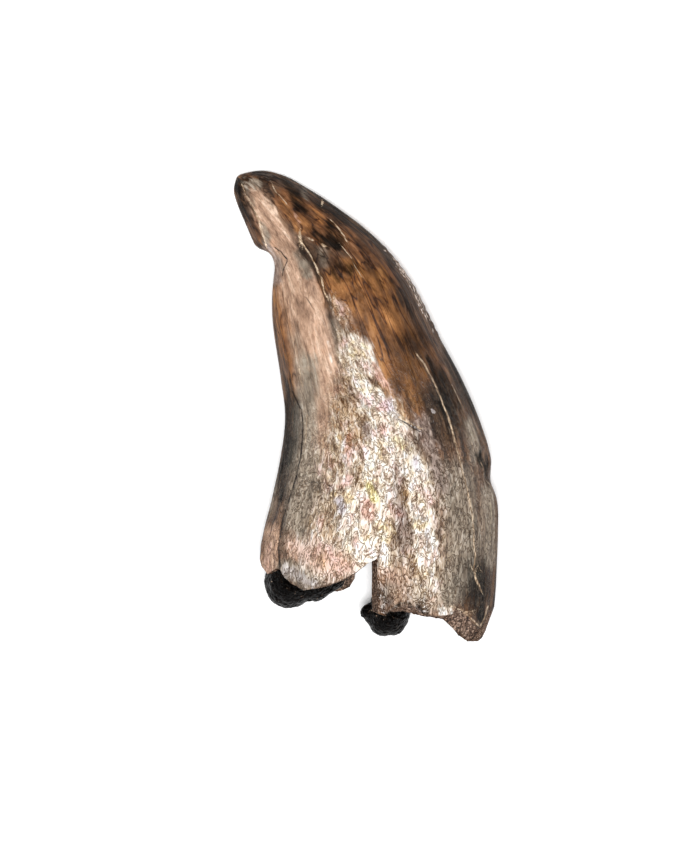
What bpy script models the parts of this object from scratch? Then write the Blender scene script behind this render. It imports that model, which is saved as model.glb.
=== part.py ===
"""Fossil raptor tooth, lying on its flatter side.

The crown is one piece of fossil enamel and dentine: recurved, flattened from side to side, worn
blunt at the tip and broken off unevenly at the base, with a notch right through the break.
Black matrix fills its pulp hollow and comes out below the break in two lumps.

Frame: metres, +Z up. +Y runs from the broken base to the tip and +X towards the convex (mesial)
margin. The origin is on the surface that the tooth lies on, under the middle of its box.
Sizes below are in millimetres.
"""

import math

import bmesh
import bpy
import numpy as np

MM = 0.001
COLLECTION = "fossil_raptor_tooth"

# Stations along the crown, base first. A station is a cross-section that stands upright on the
# surface: its place along the crown from 0 to 1, the distal and the mesial margin's X and Y,
# its height above the margins (near) and below them (far), and its gap over the surface.
# A negative gap is worn flat at the surface.
STATIONS = (
    # place  distal X, Y       mesial X, Y       near  far   gap
    (0.000, (-5.99, -15.45), (7.93, -15.45), 4.25, 3.50, -0.15),
    (0.170, (-6.49, -9.21), (8.37, -10.14), 4.30, 3.50, -0.15),
    (0.270, (-5.74, -5.96), (8.40, -6.15), 4.15, 3.40, -0.10),
    (0.360, (-5.18, -3.28), (7.78, -2.78), 3.90, 3.20, 0.05),
    (0.455, (-4.93, -0.78), (6.35, 0.97), 3.55, 2.90, 0.25),
    (0.545, (-5.22, 1.66), (4.70, 4.13), 3.15, 2.60, 0.40),
    (0.650, (-5.67, 4.55), (2.86, 7.75), 2.70, 2.20, 0.50),
    (0.740, (-5.99, 7.08), (0.76, 10.33), 2.20, 1.80, 0.50),
    (0.820, (-6.55, 9.13), (-1.56, 12.22), 1.75, 1.40, 0.40),
    (0.885, (-7.42, 11.18), (-3.57, 13.56), 1.40, 1.10, 0.22),
    (0.940, (-8.04, 12.68), (-5.30, 14.49), 1.10, 0.90, 0.02),
    (0.970, (-8.30, 13.52), (-6.50, 14.79), 0.90, 0.75, -0.03),
    (1.000, (-8.40, 14.00), (-7.62, 14.78), 0.75, 0.65, 0.03),
)
CROWN_LENGTH = 33.0  # the middle line from the first station to the last
TIP_ROUNDING = 0.045  # the last share of the crown, where the sections close to the tip
NEAR_FULLNESS = 2.05  # superellipse power of the side that faces up
FAR_FULLNESS = 2.45  # the side that it lies on is flatter

# The distal carina is a ridge on the near side, this far in from the distal margin.
CARINA_INSET = ((0.0, 1.40), (0.27, 1.35), (0.45, 1.05), (0.60, 0.70), (0.75, 0.52), (1.0, 0.40))
CARINA_RISE = 0.16
CARINA_WIDTH = 0.30
CARINA_WORN = 0.15  # the share of the rise that is left towards the base
CARINA_WORN_PLACES = (0.25, 0.60)  # the wear sets in below the second place
FLUTE_DEPTH = 0.12  # the hollow that runs beside the carina
FLUTE_WIDTH = 0.90
FLUTE_SET_BACK = 1.20

# A shallow trough runs up the near side from the base, between two low swellings.
TROUGH = {"middle": 0.22, "half_width": 0.11, "depth": 0.30, "from": 0.10, "to": 0.34}
SWELLING = {"middle": 0.46, "half_width": 0.12, "rise": 0.12, "from": 0.08, "to": 0.40}

# Chips: the distal margin below the tip, where a flake left a ledge, and the mesial margin.
LEDGE_PLACE = 0.831
LEDGE_STEP = 0.013
LEDGE_DEPTH = 1.10
LEDGE_FADE = 0.080
LEDGE_ANGLE = (math.radians(170), math.radians(38))
MARGIN_CHIP = {"place": 0.305, "half_length": 0.022, "depth": 0.30}
MARGIN_CHIP_ANGLE = (math.radians(8), math.radians(22))

# The broken rim as seen from above, once round the crown: from the distal carina over the near
# side to the mesial margin, back under the far side to the distal margin, and up to the carina.
# Each point is the enamel's edge, X and Y, then how much lower than it the dentine's crest and
# the hollow's edge stand, and how far the hollow's edge is shifted in X.
RIM_NEAR = (
    (-5.16, -10.35, 0.05, -0.20, 0.00),
    (-4.91, -10.77, 0.05, -0.30, 0.00),
    (-4.54, -11.07, 0.05, -0.30, 0.00),
    (-3.74, -11.49, 0.00, -0.25, 0.00),
    (-3.20, -11.38, 0.00, -0.25, 0.00),
    (-2.59, -11.28, 0.00, -0.25, 0.00),
    (-1.98, -11.05, 0.00, -0.25, 0.00),
    (-1.29, -10.77, 0.00, -0.30, 0.00),
    (-0.69, -10.45, 0.00, -0.30, 0.00),
    (-0.17, -10.07, 0.00, -0.30, 0.00),
    (0.23, -9.75, 0.00, -0.30, -0.10),
    (0.80, -9.50, 0.00, -0.30, -0.35),
    (0.80, -10.30, 0.00, 0.00, -0.35),
    (0.80, -11.39, 0.00, 0.00, -0.35),
    (0.80, -12.36, 0.00, 0.00, -0.35),
    (0.80, -12.80, 0.00, 0.00, -0.30),
    (1.25, -12.96, 0.00, 0.05, 0.00),
    (1.62, -12.62, 0.15, 0.20, 0.00),
    (2.04, -12.42, 0.30, 0.40, 0.00),
    (2.71, -12.29, 0.42, 0.50, 0.00),
    (3.08, -12.43, 0.38, 0.42, 0.00),
    (3.44, -12.83, 0.15, 0.10, 0.00),
    (4.35, -13.03, 0.10, 0.05, 0.00),
    (5.10, -12.94, 0.35, 0.10, 0.10),
    (5.53, -12.87, 0.85, 0.35, 0.30),
    (6.00, -12.90, 1.40, 0.50, 0.40),
    (6.42, -13.00, 1.60, 0.50, 0.40),
    (6.66, -13.52, 1.18, 0.35, 0.30),
    (7.00, -13.94, 0.82, 0.20, 0.35),
    (7.35, -13.58, 1.20, 0.40, 0.60),
    (7.66, -12.90, 1.65, 0.60, 0.80),
)
RIM_FAR = (
    (8.08, -12.65, 1.80, 0.60, 0.85),
    (7.93, -13.45, 1.05, 0.30, 0.80),
    (7.23, -14.15, 0.60, 0.10, 0.45),
    (6.33, -13.75, 0.30, -0.10, 0.00),
    (5.43, -13.05, 0.10, -0.20, 0.00),
    (4.53, -12.60, 0.00, -0.20, 0.00),
    (3.63, -12.55, 0.00, -0.20, 0.00),
    (2.88, -12.15, 0.00, -0.20, 0.00),
    (2.03, -12.40, 0.00, -0.20, 0.00),
    (1.33, -12.50, 0.00, -0.20, 0.00),
    (0.88, -12.05, 0.00, 0.00, -0.10),
    (0.75, -10.85, 0.00, 0.00, -0.10),
    (0.58, -9.30, 0.00, -0.20, 0.00),
    (-0.17, -9.15, 0.00, -0.20, 0.00),
    (-0.77, -9.85, 0.00, 0.00, 0.00),
    (-0.89, -11.15, 0.00, 0.00, 0.00),
    (-1.27, -11.75, 0.00, -0.10, 0.00),
    (-1.97, -12.00, 0.00, -0.10, 0.00),
    (-2.87, -11.60, 0.00, -0.20, 0.00),
    (-3.97, -11.65, 0.00, -0.20, 0.00),
    (-4.92, -11.15, 0.00, -0.20, 0.00),
    (-5.82, -10.60, 0.00, -0.20, 0.00),
)
RIM_FLANK = (
    (-6.57, -9.58, 0.05, -0.20, 0.00),
    (-6.37, -10.15, 0.05, -0.20, 0.00),
    (-5.99, -10.60, 0.05, -0.20, 0.00),
    (-5.73, -10.39, 0.05, -0.20, 0.00),
    (-5.41, -10.18, 0.05, -0.20, 0.00),
)

# The pulp hollow, which narrows upwards from the break and ends inside the crown.
WALL = 1.30
HOLLOW_END = 0.34  # its upper end, as a place along the crown
CREST_IN_WALL = 0.45  # where in the wall's thickness the break stands highest

# Matrix: a plug in the hollow, and two lumps below the break, each with its centre and its half
# sizes along X, Y and Z, and a lobe of the left lump.
MATRIX_GAP = 0.32
PLUG_TOP = 0.33
PLUG_BOTTOM = 0.18
PLUG_FOOT = (0.9, -9.40, 3.6)
PLUG_COLUMNS = 32
PLUG_ROWS = 5
LUMP_UNEVENNESS = 0.14
LUMP_FINENESS = 2
LUMPS = (
    ((-4.55, -11.20, 3.60), (1.50, 1.60, 1.90)),
    ((-3.37, -10.95, 3.50), (1.70, 1.55, 1.70)),
    ((-2.27, -10.80, 3.35), (1.20, 1.40, 1.45)),
    ((-2.87, -9.75, 3.60), (1.80, 1.50, 1.60)),
    ((3.73, -10.45, 3.60), (2.60, 2.30, 2.10)),
    ((1.74, -12.85, 3.60), (1.20, 1.72, 1.65)),
    ((0.70, -13.05, 3.40), (0.76, 0.48, 0.55)),
)

# Fineness of the solids.
COLUMN_STEP = 0.50
ROWS_FREE = 21
ROWS_HELD = 6
ROWS_HOLLOW = 8
HOLD_PLACE = 0.205  # below it the columns run straight down to the broken rim
SPREAD_PLACE = 0.50  # above it the columns are evenly spread
CARINA_COLUMN = math.radians(148)


def along(table, place):
    """A smooth curve through the table's points: cubic pieces whose slope at each point is that
    of the line between its neighbours."""
    knots = np.array([row[0] for row in table], float)
    values = np.array([row[1] for row in table], float).reshape(len(knots), -1)
    slopes = np.gradient(values, knots, axis=0)
    place = np.clip(np.asarray(place, float), knots[0], knots[-1])
    k = np.clip(np.searchsorted(knots, place, side="right") - 1, 0, len(knots) - 2)
    width = (knots[k + 1] - knots[k])[..., None]
    t = (place[..., None] - knots[k][..., None]) / width
    found = (
        values[k] * (1 + 2 * t) * (1 - t) ** 2
        + slopes[k] * width * t * (1 - t) ** 2
        + values[k + 1] * t**2 * (3 - 2 * t)
        - slopes[k + 1] * width * t**2 * (1 - t)
    )
    return found[..., 0] if found.shape[-1] == 1 else found


def station_column(index):
    """One column of STATIONS as a table for along()."""
    return [(row[0], row[index]) for row in STATIONS]


def smooth_step(low, high, x):
    """0 below low, 1 above high, and an even S-curve between."""
    t = np.clip((x - low) / (high - low), 0.0, 1.0)
    return t * t * (3 - 2 * t)


def bell(x, half_width):
    """A smooth bump of height 1 at 0 that is small beyond its half width."""
    return np.exp(-((x / half_width) ** 2))


def section(place, inset=0.0, closing=1.0):
    """The section at a place: its middle, its half span towards the mesial margin, its near and
    far heights and its margins' height. inset takes a wall's thickness off it all round, and
    closing shrinks it."""
    distal = along(station_column(1), place)
    mesial = along(station_column(2), place)
    near = along(station_column(3), place)
    far = along(station_column(4), place)
    gap = along(station_column(5), place)
    tip = np.clip((place - 1 + TIP_ROUNDING) / TIP_ROUNDING, 0.0, 1.0)
    dome = np.sqrt(np.clip(1 - tip**2, 0.0, 1.0))
    half = (mesial - distal) / 2
    length = np.linalg.norm(half, axis=-1)
    unit = half / length[..., None]
    shrink = dome * closing
    return {
        "middle": (mesial + distal) / 2,
        "unit": unit,
        "half": (length - inset) * shrink,
        "full": length,
        "near": (near - inset) * shrink,
        "far": (far - inset) * shrink,
        "height": far + gap,
    }


def carina_angle(place):
    """The angle round the section at which the distal carina runs."""
    full = section(place)["full"]
    share = np.clip(1 - along(CARINA_INSET, place) / full, 0.05, 0.98)
    return math.pi - np.arccos(share ** (NEAR_FULLNESS / 2))


def relief(place, angle, size):
    """How far the surface stands out from the plain section: ridge, flute, trough and chips."""
    across = np.cos(angle)
    from_carina = (angle - carina_angle(place)) * size
    faded = smooth_step(0.0, 0.04, 1 - place)
    sharp = CARINA_WORN + (1 - CARINA_WORN) * smooth_step(*CARINA_WORN_PLACES, place)
    rise = CARINA_RISE * sharp * bell(from_carina, CARINA_WIDTH)
    rise -= FLUTE_DEPTH * bell(from_carina + FLUTE_SET_BACK, FLUTE_WIDTH)
    near_side = smooth_step(0.0, 0.4, np.sin(angle))
    trough = bell(across - TROUGH["middle"], TROUGH["half_width"])
    trough *= 1 - smooth_step(TROUGH["from"], TROUGH["to"], place)
    swelling = bell(across - SWELLING["middle"], SWELLING["half_width"])
    swelling *= 1 - smooth_step(SWELLING["from"], SWELLING["to"], place)
    rise += near_side * (SWELLING["rise"] * swelling - TROUGH["depth"] * trough)
    below = LEDGE_PLACE - place
    flake = smooth_step(-LEDGE_STEP, LEDGE_STEP, below) * bell(np.maximum(below, 0), LEDGE_FADE)
    rise -= LEDGE_DEPTH * flake * bell(angle - LEDGE_ANGLE[0], LEDGE_ANGLE[1])
    turned = np.mod(angle + math.pi, 2 * math.pi) - math.pi
    chip = bell(place - MARGIN_CHIP["place"], MARGIN_CHIP["half_length"])
    chip *= bell(turned - MARGIN_CHIP_ANGLE[0], MARGIN_CHIP_ANGLE[1])
    rise -= MARGIN_CHIP["depth"] * chip
    return rise * faded


def skin(place, angle, inset=0.0, closing=1.0):
    """Points of the surface, at a place along the crown and an angle round its section: a
    superellipse, plus the relief along its own normal, and no lower than the surface below."""
    cut = section(place, inset, closing)
    power = np.where(np.sin(angle) >= 0, NEAR_FULLNESS, FAR_FULLNESS)
    c, s = np.cos(angle), np.sin(angle)
    x = np.sign(c) * np.abs(c) ** (2 / power)
    z = np.sign(s) * np.abs(s) ** (2 / power)
    tall = np.where(s >= 0, cut["near"], cut["far"])
    out_x, out_z = x * cut["half"], z * tall
    if inset == 0.0:
        slope_x = np.sign(x) * np.abs(x) ** (power - 1) / np.maximum(cut["half"], 1e-6)
        slope_z = np.sign(z) * np.abs(z) ** (power - 1) / np.maximum(tall, 1e-6)
        size = np.hypot(slope_x, slope_z)
        rise = relief(place, angle, cut["half"])
        out_x = out_x + rise * slope_x / size
        out_z = out_z + rise * slope_z / size
    flat = cut["middle"] + out_x[..., None] * cut["unit"]
    height = np.maximum(cut["height"] + out_z, 0.0)
    return np.concatenate([flat, height[..., None]], axis=-1)


def locate(points, near_side, inset=0.0):
    """The place and angle at which the section carries each point, seen from above."""
    trial = np.linspace(0.0, 0.45, 451)
    cut = section(trial, inset)
    away = points[:, None, :] - cut["middle"][None]
    ahead = away[..., 0] * -cut["unit"][:, 1] + away[..., 1] * cut["unit"][:, 0]
    place = np.array([np.interp(0.0, -row, trial) for row in ahead])
    cut = section(place, inset)
    share = np.einsum("ij,ij->i", points - cut["middle"], cut["unit"]) / cut["half"]
    share = np.clip(share, -1.0, 1.0)
    power = np.where(near_side, NEAR_FULLNESS, FAR_FULLNESS)
    angle = np.arccos(np.sign(share) * np.abs(share) ** (power / 2))
    return place, np.where(near_side, angle, 2 * math.pi - angle)


def subdivided(rows, step):
    """The closed row of points with extra ones put in, none further apart than step."""
    rows = np.array(rows, float)
    made, corners = [], []
    for a, b in zip(rows, np.roll(rows, -1, axis=0)):
        corners.append(len(made))
        parts = max(1, round(float(np.hypot(*(b - a)[:2])) / step))
        made.extend(a + (b - a) * k / parts for k in range(parts))
    return np.array(made), corners


def rim_columns(grown=0.0):
    """The columns round the crown: where each meets the enamel's edge, the crest and the
    hollow's edge, and its angle where the columns are evenly spread. grown lowers the break."""
    rows, corners = subdivided(RIM_NEAR + RIM_FAR + RIM_FLANK, COLUMN_STEP)
    rows[:, 1] -= grown
    mesial = corners[len(RIM_NEAR)]
    distal = corners[len(RIM_NEAR) + len(RIM_FAR)]
    count = len(rows)
    index = np.arange(count)
    near_side = (index <= mesial) | (index >= distal)
    keys = (0, mesial, distal, count)
    turns = (CARINA_COLUMN, 0.0, -math.pi, CARINA_COLUMN - 2 * math.pi)
    even = np.mod(np.interp(index, keys, turns), 2 * math.pi)
    enamel = rows[:, :2]
    place, angle = locate(enamel, near_side, -grown)
    middle = section(place)["middle"][:, 0]
    half = section(place)["full"]
    crest_in, hollow_in = CREST_IN_WALL * WALL, WALL + grown
    crest = np.stack(
        [middle + (enamel[:, 0] - middle) * (1 - crest_in / half), enamel[:, 1] - rows[:, 2]], -1
    )
    crest[:, 0] += rows[:, 4] * CREST_IN_WALL
    hollow = np.stack(
        [middle + (enamel[:, 0] - middle) * (1 - hollow_in / half), enamel[:, 1] - rows[:, 3]], -1
    )
    hollow[:, 0] += rows[:, 4]
    return {
        "even": even,
        "enamel": (place, angle),
        "crest": locate(crest, near_side, crest_in),
        "hollow": locate(hollow, near_side, hollow_in),
    }


def even_angle(even, place):
    """The angle of an evenly spread column at a place: the carina's column keeps to it."""
    carina = carina_angle(place)
    keys = np.array([0.0, CARINA_COLUMN, math.pi, 2 * math.pi])
    low = even * carina / keys[1]
    middle = carina + (even - keys[1]) * (math.pi - carina) / (keys[2] - keys[1])
    return np.where(even <= keys[1], low, np.where(even <= keys[2], middle, even))


def near_turn(angle, other):
    """The angle's whole-turn equal that is nearest to the other."""
    return other + np.mod(angle - other + math.pi, 2 * math.pi) - math.pi


def crown_rows(grown=0.0):
    """Rows of points from the tip down the outside, over the broken rim and up the hollow.
    grown adds a thickness to the crown all over."""
    columns = rim_columns(grown)
    even = columns["even"]
    tip_rows = 1 - TIP_ROUNDING * (1 - np.cos(np.linspace(0.25, 1.0, 4) * math.pi / 2))
    free = np.linspace(1 - TIP_ROUNDING, HOLD_PLACE, ROWS_FREE)[1:]
    ledge = LEDGE_PLACE + LEDGE_STEP * np.array([-1.2, 0.0, 1.2])
    places = np.sort(np.concatenate([tip_rows, free, ledge]))[::-1]
    rim_place, rim_angle = columns["enamel"]
    rows = []
    for place in places:
        spread = even_angle(even, np.full_like(even, place))
        pull = 1 - smooth_step(HOLD_PLACE, SPREAD_PLACE, place)
        angle = spread + (near_turn(rim_angle, spread) - spread) * pull
        rows.append(skin(np.full_like(even, place), angle, -grown))
    for share in np.linspace(0, 1, ROWS_HELD + 1)[1:]:
        rows.append(skin(HOLD_PLACE + (rim_place - HOLD_PLACE) * share, rim_angle, -grown))
    rows.append(skin(*columns["crest"], inset=CREST_IN_WALL * WALL))
    hollow_place, hollow_angle = columns["hollow"]
    end = HOLLOW_END - grown / CROWN_LENGTH
    for share in np.linspace(0, 1, ROWS_HOLLOW + 1)[:-1]:
        place = hollow_place + (end - hollow_place) * share
        angle = hollow_angle + (near_turn(even, hollow_angle) - hollow_angle) * share
        rows.append(skin(place, angle, WALL + grown, math.sqrt(1 - share**2)))
    return rows


def pole(place, inset=0.0):
    """The point in the middle of a section that has closed."""
    return skin(np.array([place]), np.array([math.pi / 2]), inset, 0.0)[0]


def lofted(name, rows, first, last):
    """A closed mesh through rows of points with the same count, ended by two single points."""
    count = len(rows[0])
    points = np.concatenate([[first], *rows, [last]]) * MM
    here = np.arange(count)
    after = np.roll(here, -1)
    faces = [(0, 1 + a, 1 + b) for a, b in zip(here, after)]
    for k in range(len(rows) - 1):
        top, low = 1 + k * count, 1 + (k + 1) * count
        faces += [(top + a, low + a, low + b, top + b) for a, b in zip(here, after)]
    end, foot = len(points) - 1, 1 + (len(rows) - 1) * count
    faces += [(end, foot + b, foot + a) for a, b in zip(here, after)]
    mesh = bpy.data.meshes.new(name)
    mesh.from_pydata([tuple(p) for p in points], [], faces)
    mesh.validate()
    return mesh


def fossil_material(name, colour, roughness):
    """A plain stone-like finish."""
    material = bpy.data.materials.new(name)
    material.use_nodes = True
    shader = material.node_tree.nodes["Principled BSDF"]
    shader.inputs["Base Color"].default_value = (*colour, 1.0)
    shader.inputs["Roughness"].default_value = roughness
    shader.inputs["Metallic"].default_value = 0.0
    return material


def add_object(name, mesh, collection, material):
    """Puts a mesh in the collection as a smooth-shaded object with its material."""
    obj = bpy.data.objects.new(name, mesh)
    collection.objects.link(obj)
    mesh.materials.append(material)
    mesh.shade_smooth()
    mesh.set_sharp_from_angle(angle=math.radians(40))
    return obj


def build_crown(collection):
    """The tooth itself, with its hollow base."""
    tip = pole(1.0)
    mesh = lofted("tooth_crown", crown_rows(), tip, pole(HOLLOW_END, WALL))
    return add_object("tooth_crown", mesh, collection, fossil_material(
        "fossil_enamel", (0.20, 0.13, 0.085), 0.38))


def plug_rows():
    """Rows of the matrix before it is trimmed: from its top in the hollow down past the break,
    reaching into the wall all round."""
    turn = np.linspace(2 * math.pi, 0, PLUG_COLUMNS, endpoint=False)
    rows = []
    for share in np.linspace(0.15, 1.0, PLUG_ROWS):
        place = np.full_like(turn, PLUG_TOP + (PLUG_BOTTOM - PLUG_TOP) * share)
        rows.append(skin(place, turn, WALL / 2, math.sqrt(1 - (1 - share) ** 2)))
    return rows


def lump_mesh(middle, half_sizes, seed):
    """An uneven ball of matrix."""
    shape = bmesh.new()
    bmesh.ops.create_icosphere(shape, subdivisions=LUMP_FINENESS, radius=1.0)
    draw = np.random.default_rng(seed)
    waves = draw.normal(0.0, 2.2, (7, 3))
    shifts = draw.uniform(0.0, 2 * math.pi, 7)
    for vertex in shape.verts:
        swell = 1 + LUMP_UNEVENNESS * float(np.mean(np.sin(waves @ np.array(vertex.co) + shifts)))
        vertex.co = [MM * (m + swell * h * c) for m, h, c in zip(middle, half_sizes, vertex.co)]
    mesh = bpy.data.meshes.new("lump")
    shape.to_mesh(mesh)
    shape.free()
    return mesh


def combine(obj, other, operation):
    """Joins the other object to this one, or takes it away from it, and removes the other."""
    step = obj.modifiers.new(operation.title(), "BOOLEAN")
    step.solver = "EXACT"
    step.operation = operation
    step.object = other
    graph = bpy.context.evaluated_depsgraph_get()
    made = bpy.data.meshes.new_from_object(obj.evaluated_get(graph))
    obj.modifiers.remove(step)
    obj.data = made
    bpy.data.objects.remove(other)


def build_matrix(collection):
    """The black matrix: a plug and its lumps joined in one body and trimmed clear of the crown."""
    finish = fossil_material("black_matrix", (0.012, 0.010, 0.009), 0.45)
    top = pole(PLUG_TOP, WALL / 2)
    foot = np.array([*PLUG_FOOT])
    plug = add_object("pulp_matrix", lofted("plug", plug_rows(), top, foot), collection, finish)
    for seed, (middle, half_sizes) in enumerate(LUMPS):
        ball = lump_mesh(middle, half_sizes, seed)
        combine(plug, add_object("lump", ball, collection, finish), "UNION")
    keep_out = lofted("keep_out", crown_rows(MATRIX_GAP), pole(1.0), pole(HOLLOW_END, WALL))
    combine(plug, add_object("keep_out", keep_out, collection, finish), "DIFFERENCE")
    return plug


def main():
    """Clears the scene and builds the tooth and its matrix."""
    for obj in list(bpy.data.objects):
        bpy.data.objects.remove(obj)
    collection = bpy.data.collections.new(COLLECTION)
    bpy.context.scene.collection.children.link(collection)
    build_crown(collection)
    build_matrix(collection)


main()
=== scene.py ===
"""Dresses the fossil raptor tooth: a fine, stained enamel crown, its matrix, floor and light.

Sizes inside the classes are in millimetres and turn to metres where a mesh is made. The tooth
lies on z = 0 with +Z up, +Y towards the tip and +X towards the convex (mesial) margin. The near
side is the one that faces up.
"""

import logging
import math
from dataclasses import dataclass, field
from enum import IntEnum, StrEnum
from typing import Any, Optional, Union

import bpy
import numpy as np
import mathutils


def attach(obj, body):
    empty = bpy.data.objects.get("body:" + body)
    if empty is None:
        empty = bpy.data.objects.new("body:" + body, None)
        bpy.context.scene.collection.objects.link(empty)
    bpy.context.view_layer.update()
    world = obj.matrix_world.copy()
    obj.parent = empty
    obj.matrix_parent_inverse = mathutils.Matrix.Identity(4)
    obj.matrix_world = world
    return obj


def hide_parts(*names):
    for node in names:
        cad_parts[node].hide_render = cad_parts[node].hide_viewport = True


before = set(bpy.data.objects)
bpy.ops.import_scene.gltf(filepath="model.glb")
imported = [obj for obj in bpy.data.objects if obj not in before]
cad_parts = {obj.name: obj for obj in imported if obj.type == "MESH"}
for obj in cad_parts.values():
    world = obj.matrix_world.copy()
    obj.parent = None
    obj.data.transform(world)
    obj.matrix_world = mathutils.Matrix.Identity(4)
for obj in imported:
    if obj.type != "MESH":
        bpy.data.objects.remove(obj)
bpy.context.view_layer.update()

MM = 0.001
LOG = logging.getLogger("fossil_tooth")

Path = tuple[tuple[float, float], ...]
Point = tuple[float, float, float]
Ramp = tuple[tuple[float, str], ...]
Array = np.ndarray
Tree = bpy.types.NodeTree
Socket = bpy.types.NodeSocket

WHITE = (1.0, 1.0, 1.0, 1.0)
COLOUR_RAMP = "ValToRGB"

# Where a dab says nothing of its soft edge, half of that is this much wider than the half width.
SOFTER = 0.05

# Large odd numbers that mix a cell's three indices and the noise's seed into one hash.
HASH_CELL = (374761393, 668265263, 2147483647)
HASH_SEED = 974634777
HASH_MIX = 1274126177
HASH_BITS = 0x7FFFFFFF

# Brings the noise's values to about -1 to 1.
NOISE_GAIN = 1.2


class Stain(StrEnum):
    """What the ground water and the wear left in the enamel, and the dentine that is bare, with
    painted highlights, glints and shade among them.
    """

    # The pale band, which also carries a painted highlight on the carina's ridge and on the notch's
    # wall.
    BAND_AND_HIGHLIGHT = "band_and_painted_highlight"
    AMBER = "stain_amber"
    RUST = "stain_rust"
    # Black manganese stain, with painted shade along the margins and above the matrix.
    UMBER_AND_SHADE = "umber_and_painted_shade"
    # Grey stain, with painted shade where the band turns away on the left.
    ASH_AND_SHADE = "ash_and_painted_shade"
    ROSE = "stain_rose"
    # Crinkled, worn enamel, whose near-white crests are painted glints.
    FOIL_AND_GLINTS = "foil_and_painted_glints"
    # A painted highlight, where the lamp's reflection falls.
    PAINTED_HIGHLIGHT = "painted_highlight_mask"
    # Mauve-brown stain, with painted shade in the shallow groove between the highlights and by the
    # ledge.
    MAUVE_AND_SHADE = "mauve_and_painted_shade"
    CRUMB = "stain_crumb"
    CORE = "stain_core"
    # Golden and pearly flecks, most of them painted iridescent glints.
    GILT_AND_GLINT = "gilt_and_painted_glint"
    PEARL_AND_GLINT = "pearl_and_painted_glint"
    DENTINE = "dentine"


class Vein(StrEnum):
    """A crack that a pale mineral filled, or one that is open and dark; one dark line is a painted
    shadow beside a raised pale crack.
    """

    PALE = "vein_pale"
    DARK_AND_SHADOW = "vein_dark_and_shadow"


class Seed(IntEnum):
    """The seeds of the noises that shape the meshes and move the stains, one for each."""

    RIM = 5
    RIM_CREST = 6
    FLUTES = 11
    WRINKLES = 12
    FINE_WRINKLES = 13
    SERRATIONS = 14
    WRINKLE_BEND = 21
    STAIN_ACROSS = 31
    STAIN_ALONG = 32
    STREAKS = 33
    CRACKS = 41
    GRAVEL = 51
    DISTAL_CLODS = 61
    NOTCH_CLODS = 62
    DISTAL_GRIT = 66
    NOTCH_GRIT = 67
    PLUG_FOOT = 71


@dataclass(frozen=True)
class Dab:
    """One dab of a stain, drawn out along a line: the line in X and Y, the dab's half width, its
    strength and half the width of its soft edge, where that isn't just over the half width."""

    path: Path
    reach: float
    strength: float
    soft: Optional[float] = None

    def fade(self) -> tuple[float, float]:
        """The distances from its line where the dab starts to fade and where it is gone."""
        soft = self.reach + SOFTER if self.soft is None else self.soft
        return self.reach - soft, self.reach + soft


@dataclass(frozen=True)
class Crack:
    """One crack in the near side: its line in X and Y, its half width and its strength."""

    path: Path
    reach: float
    strength: float
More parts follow.
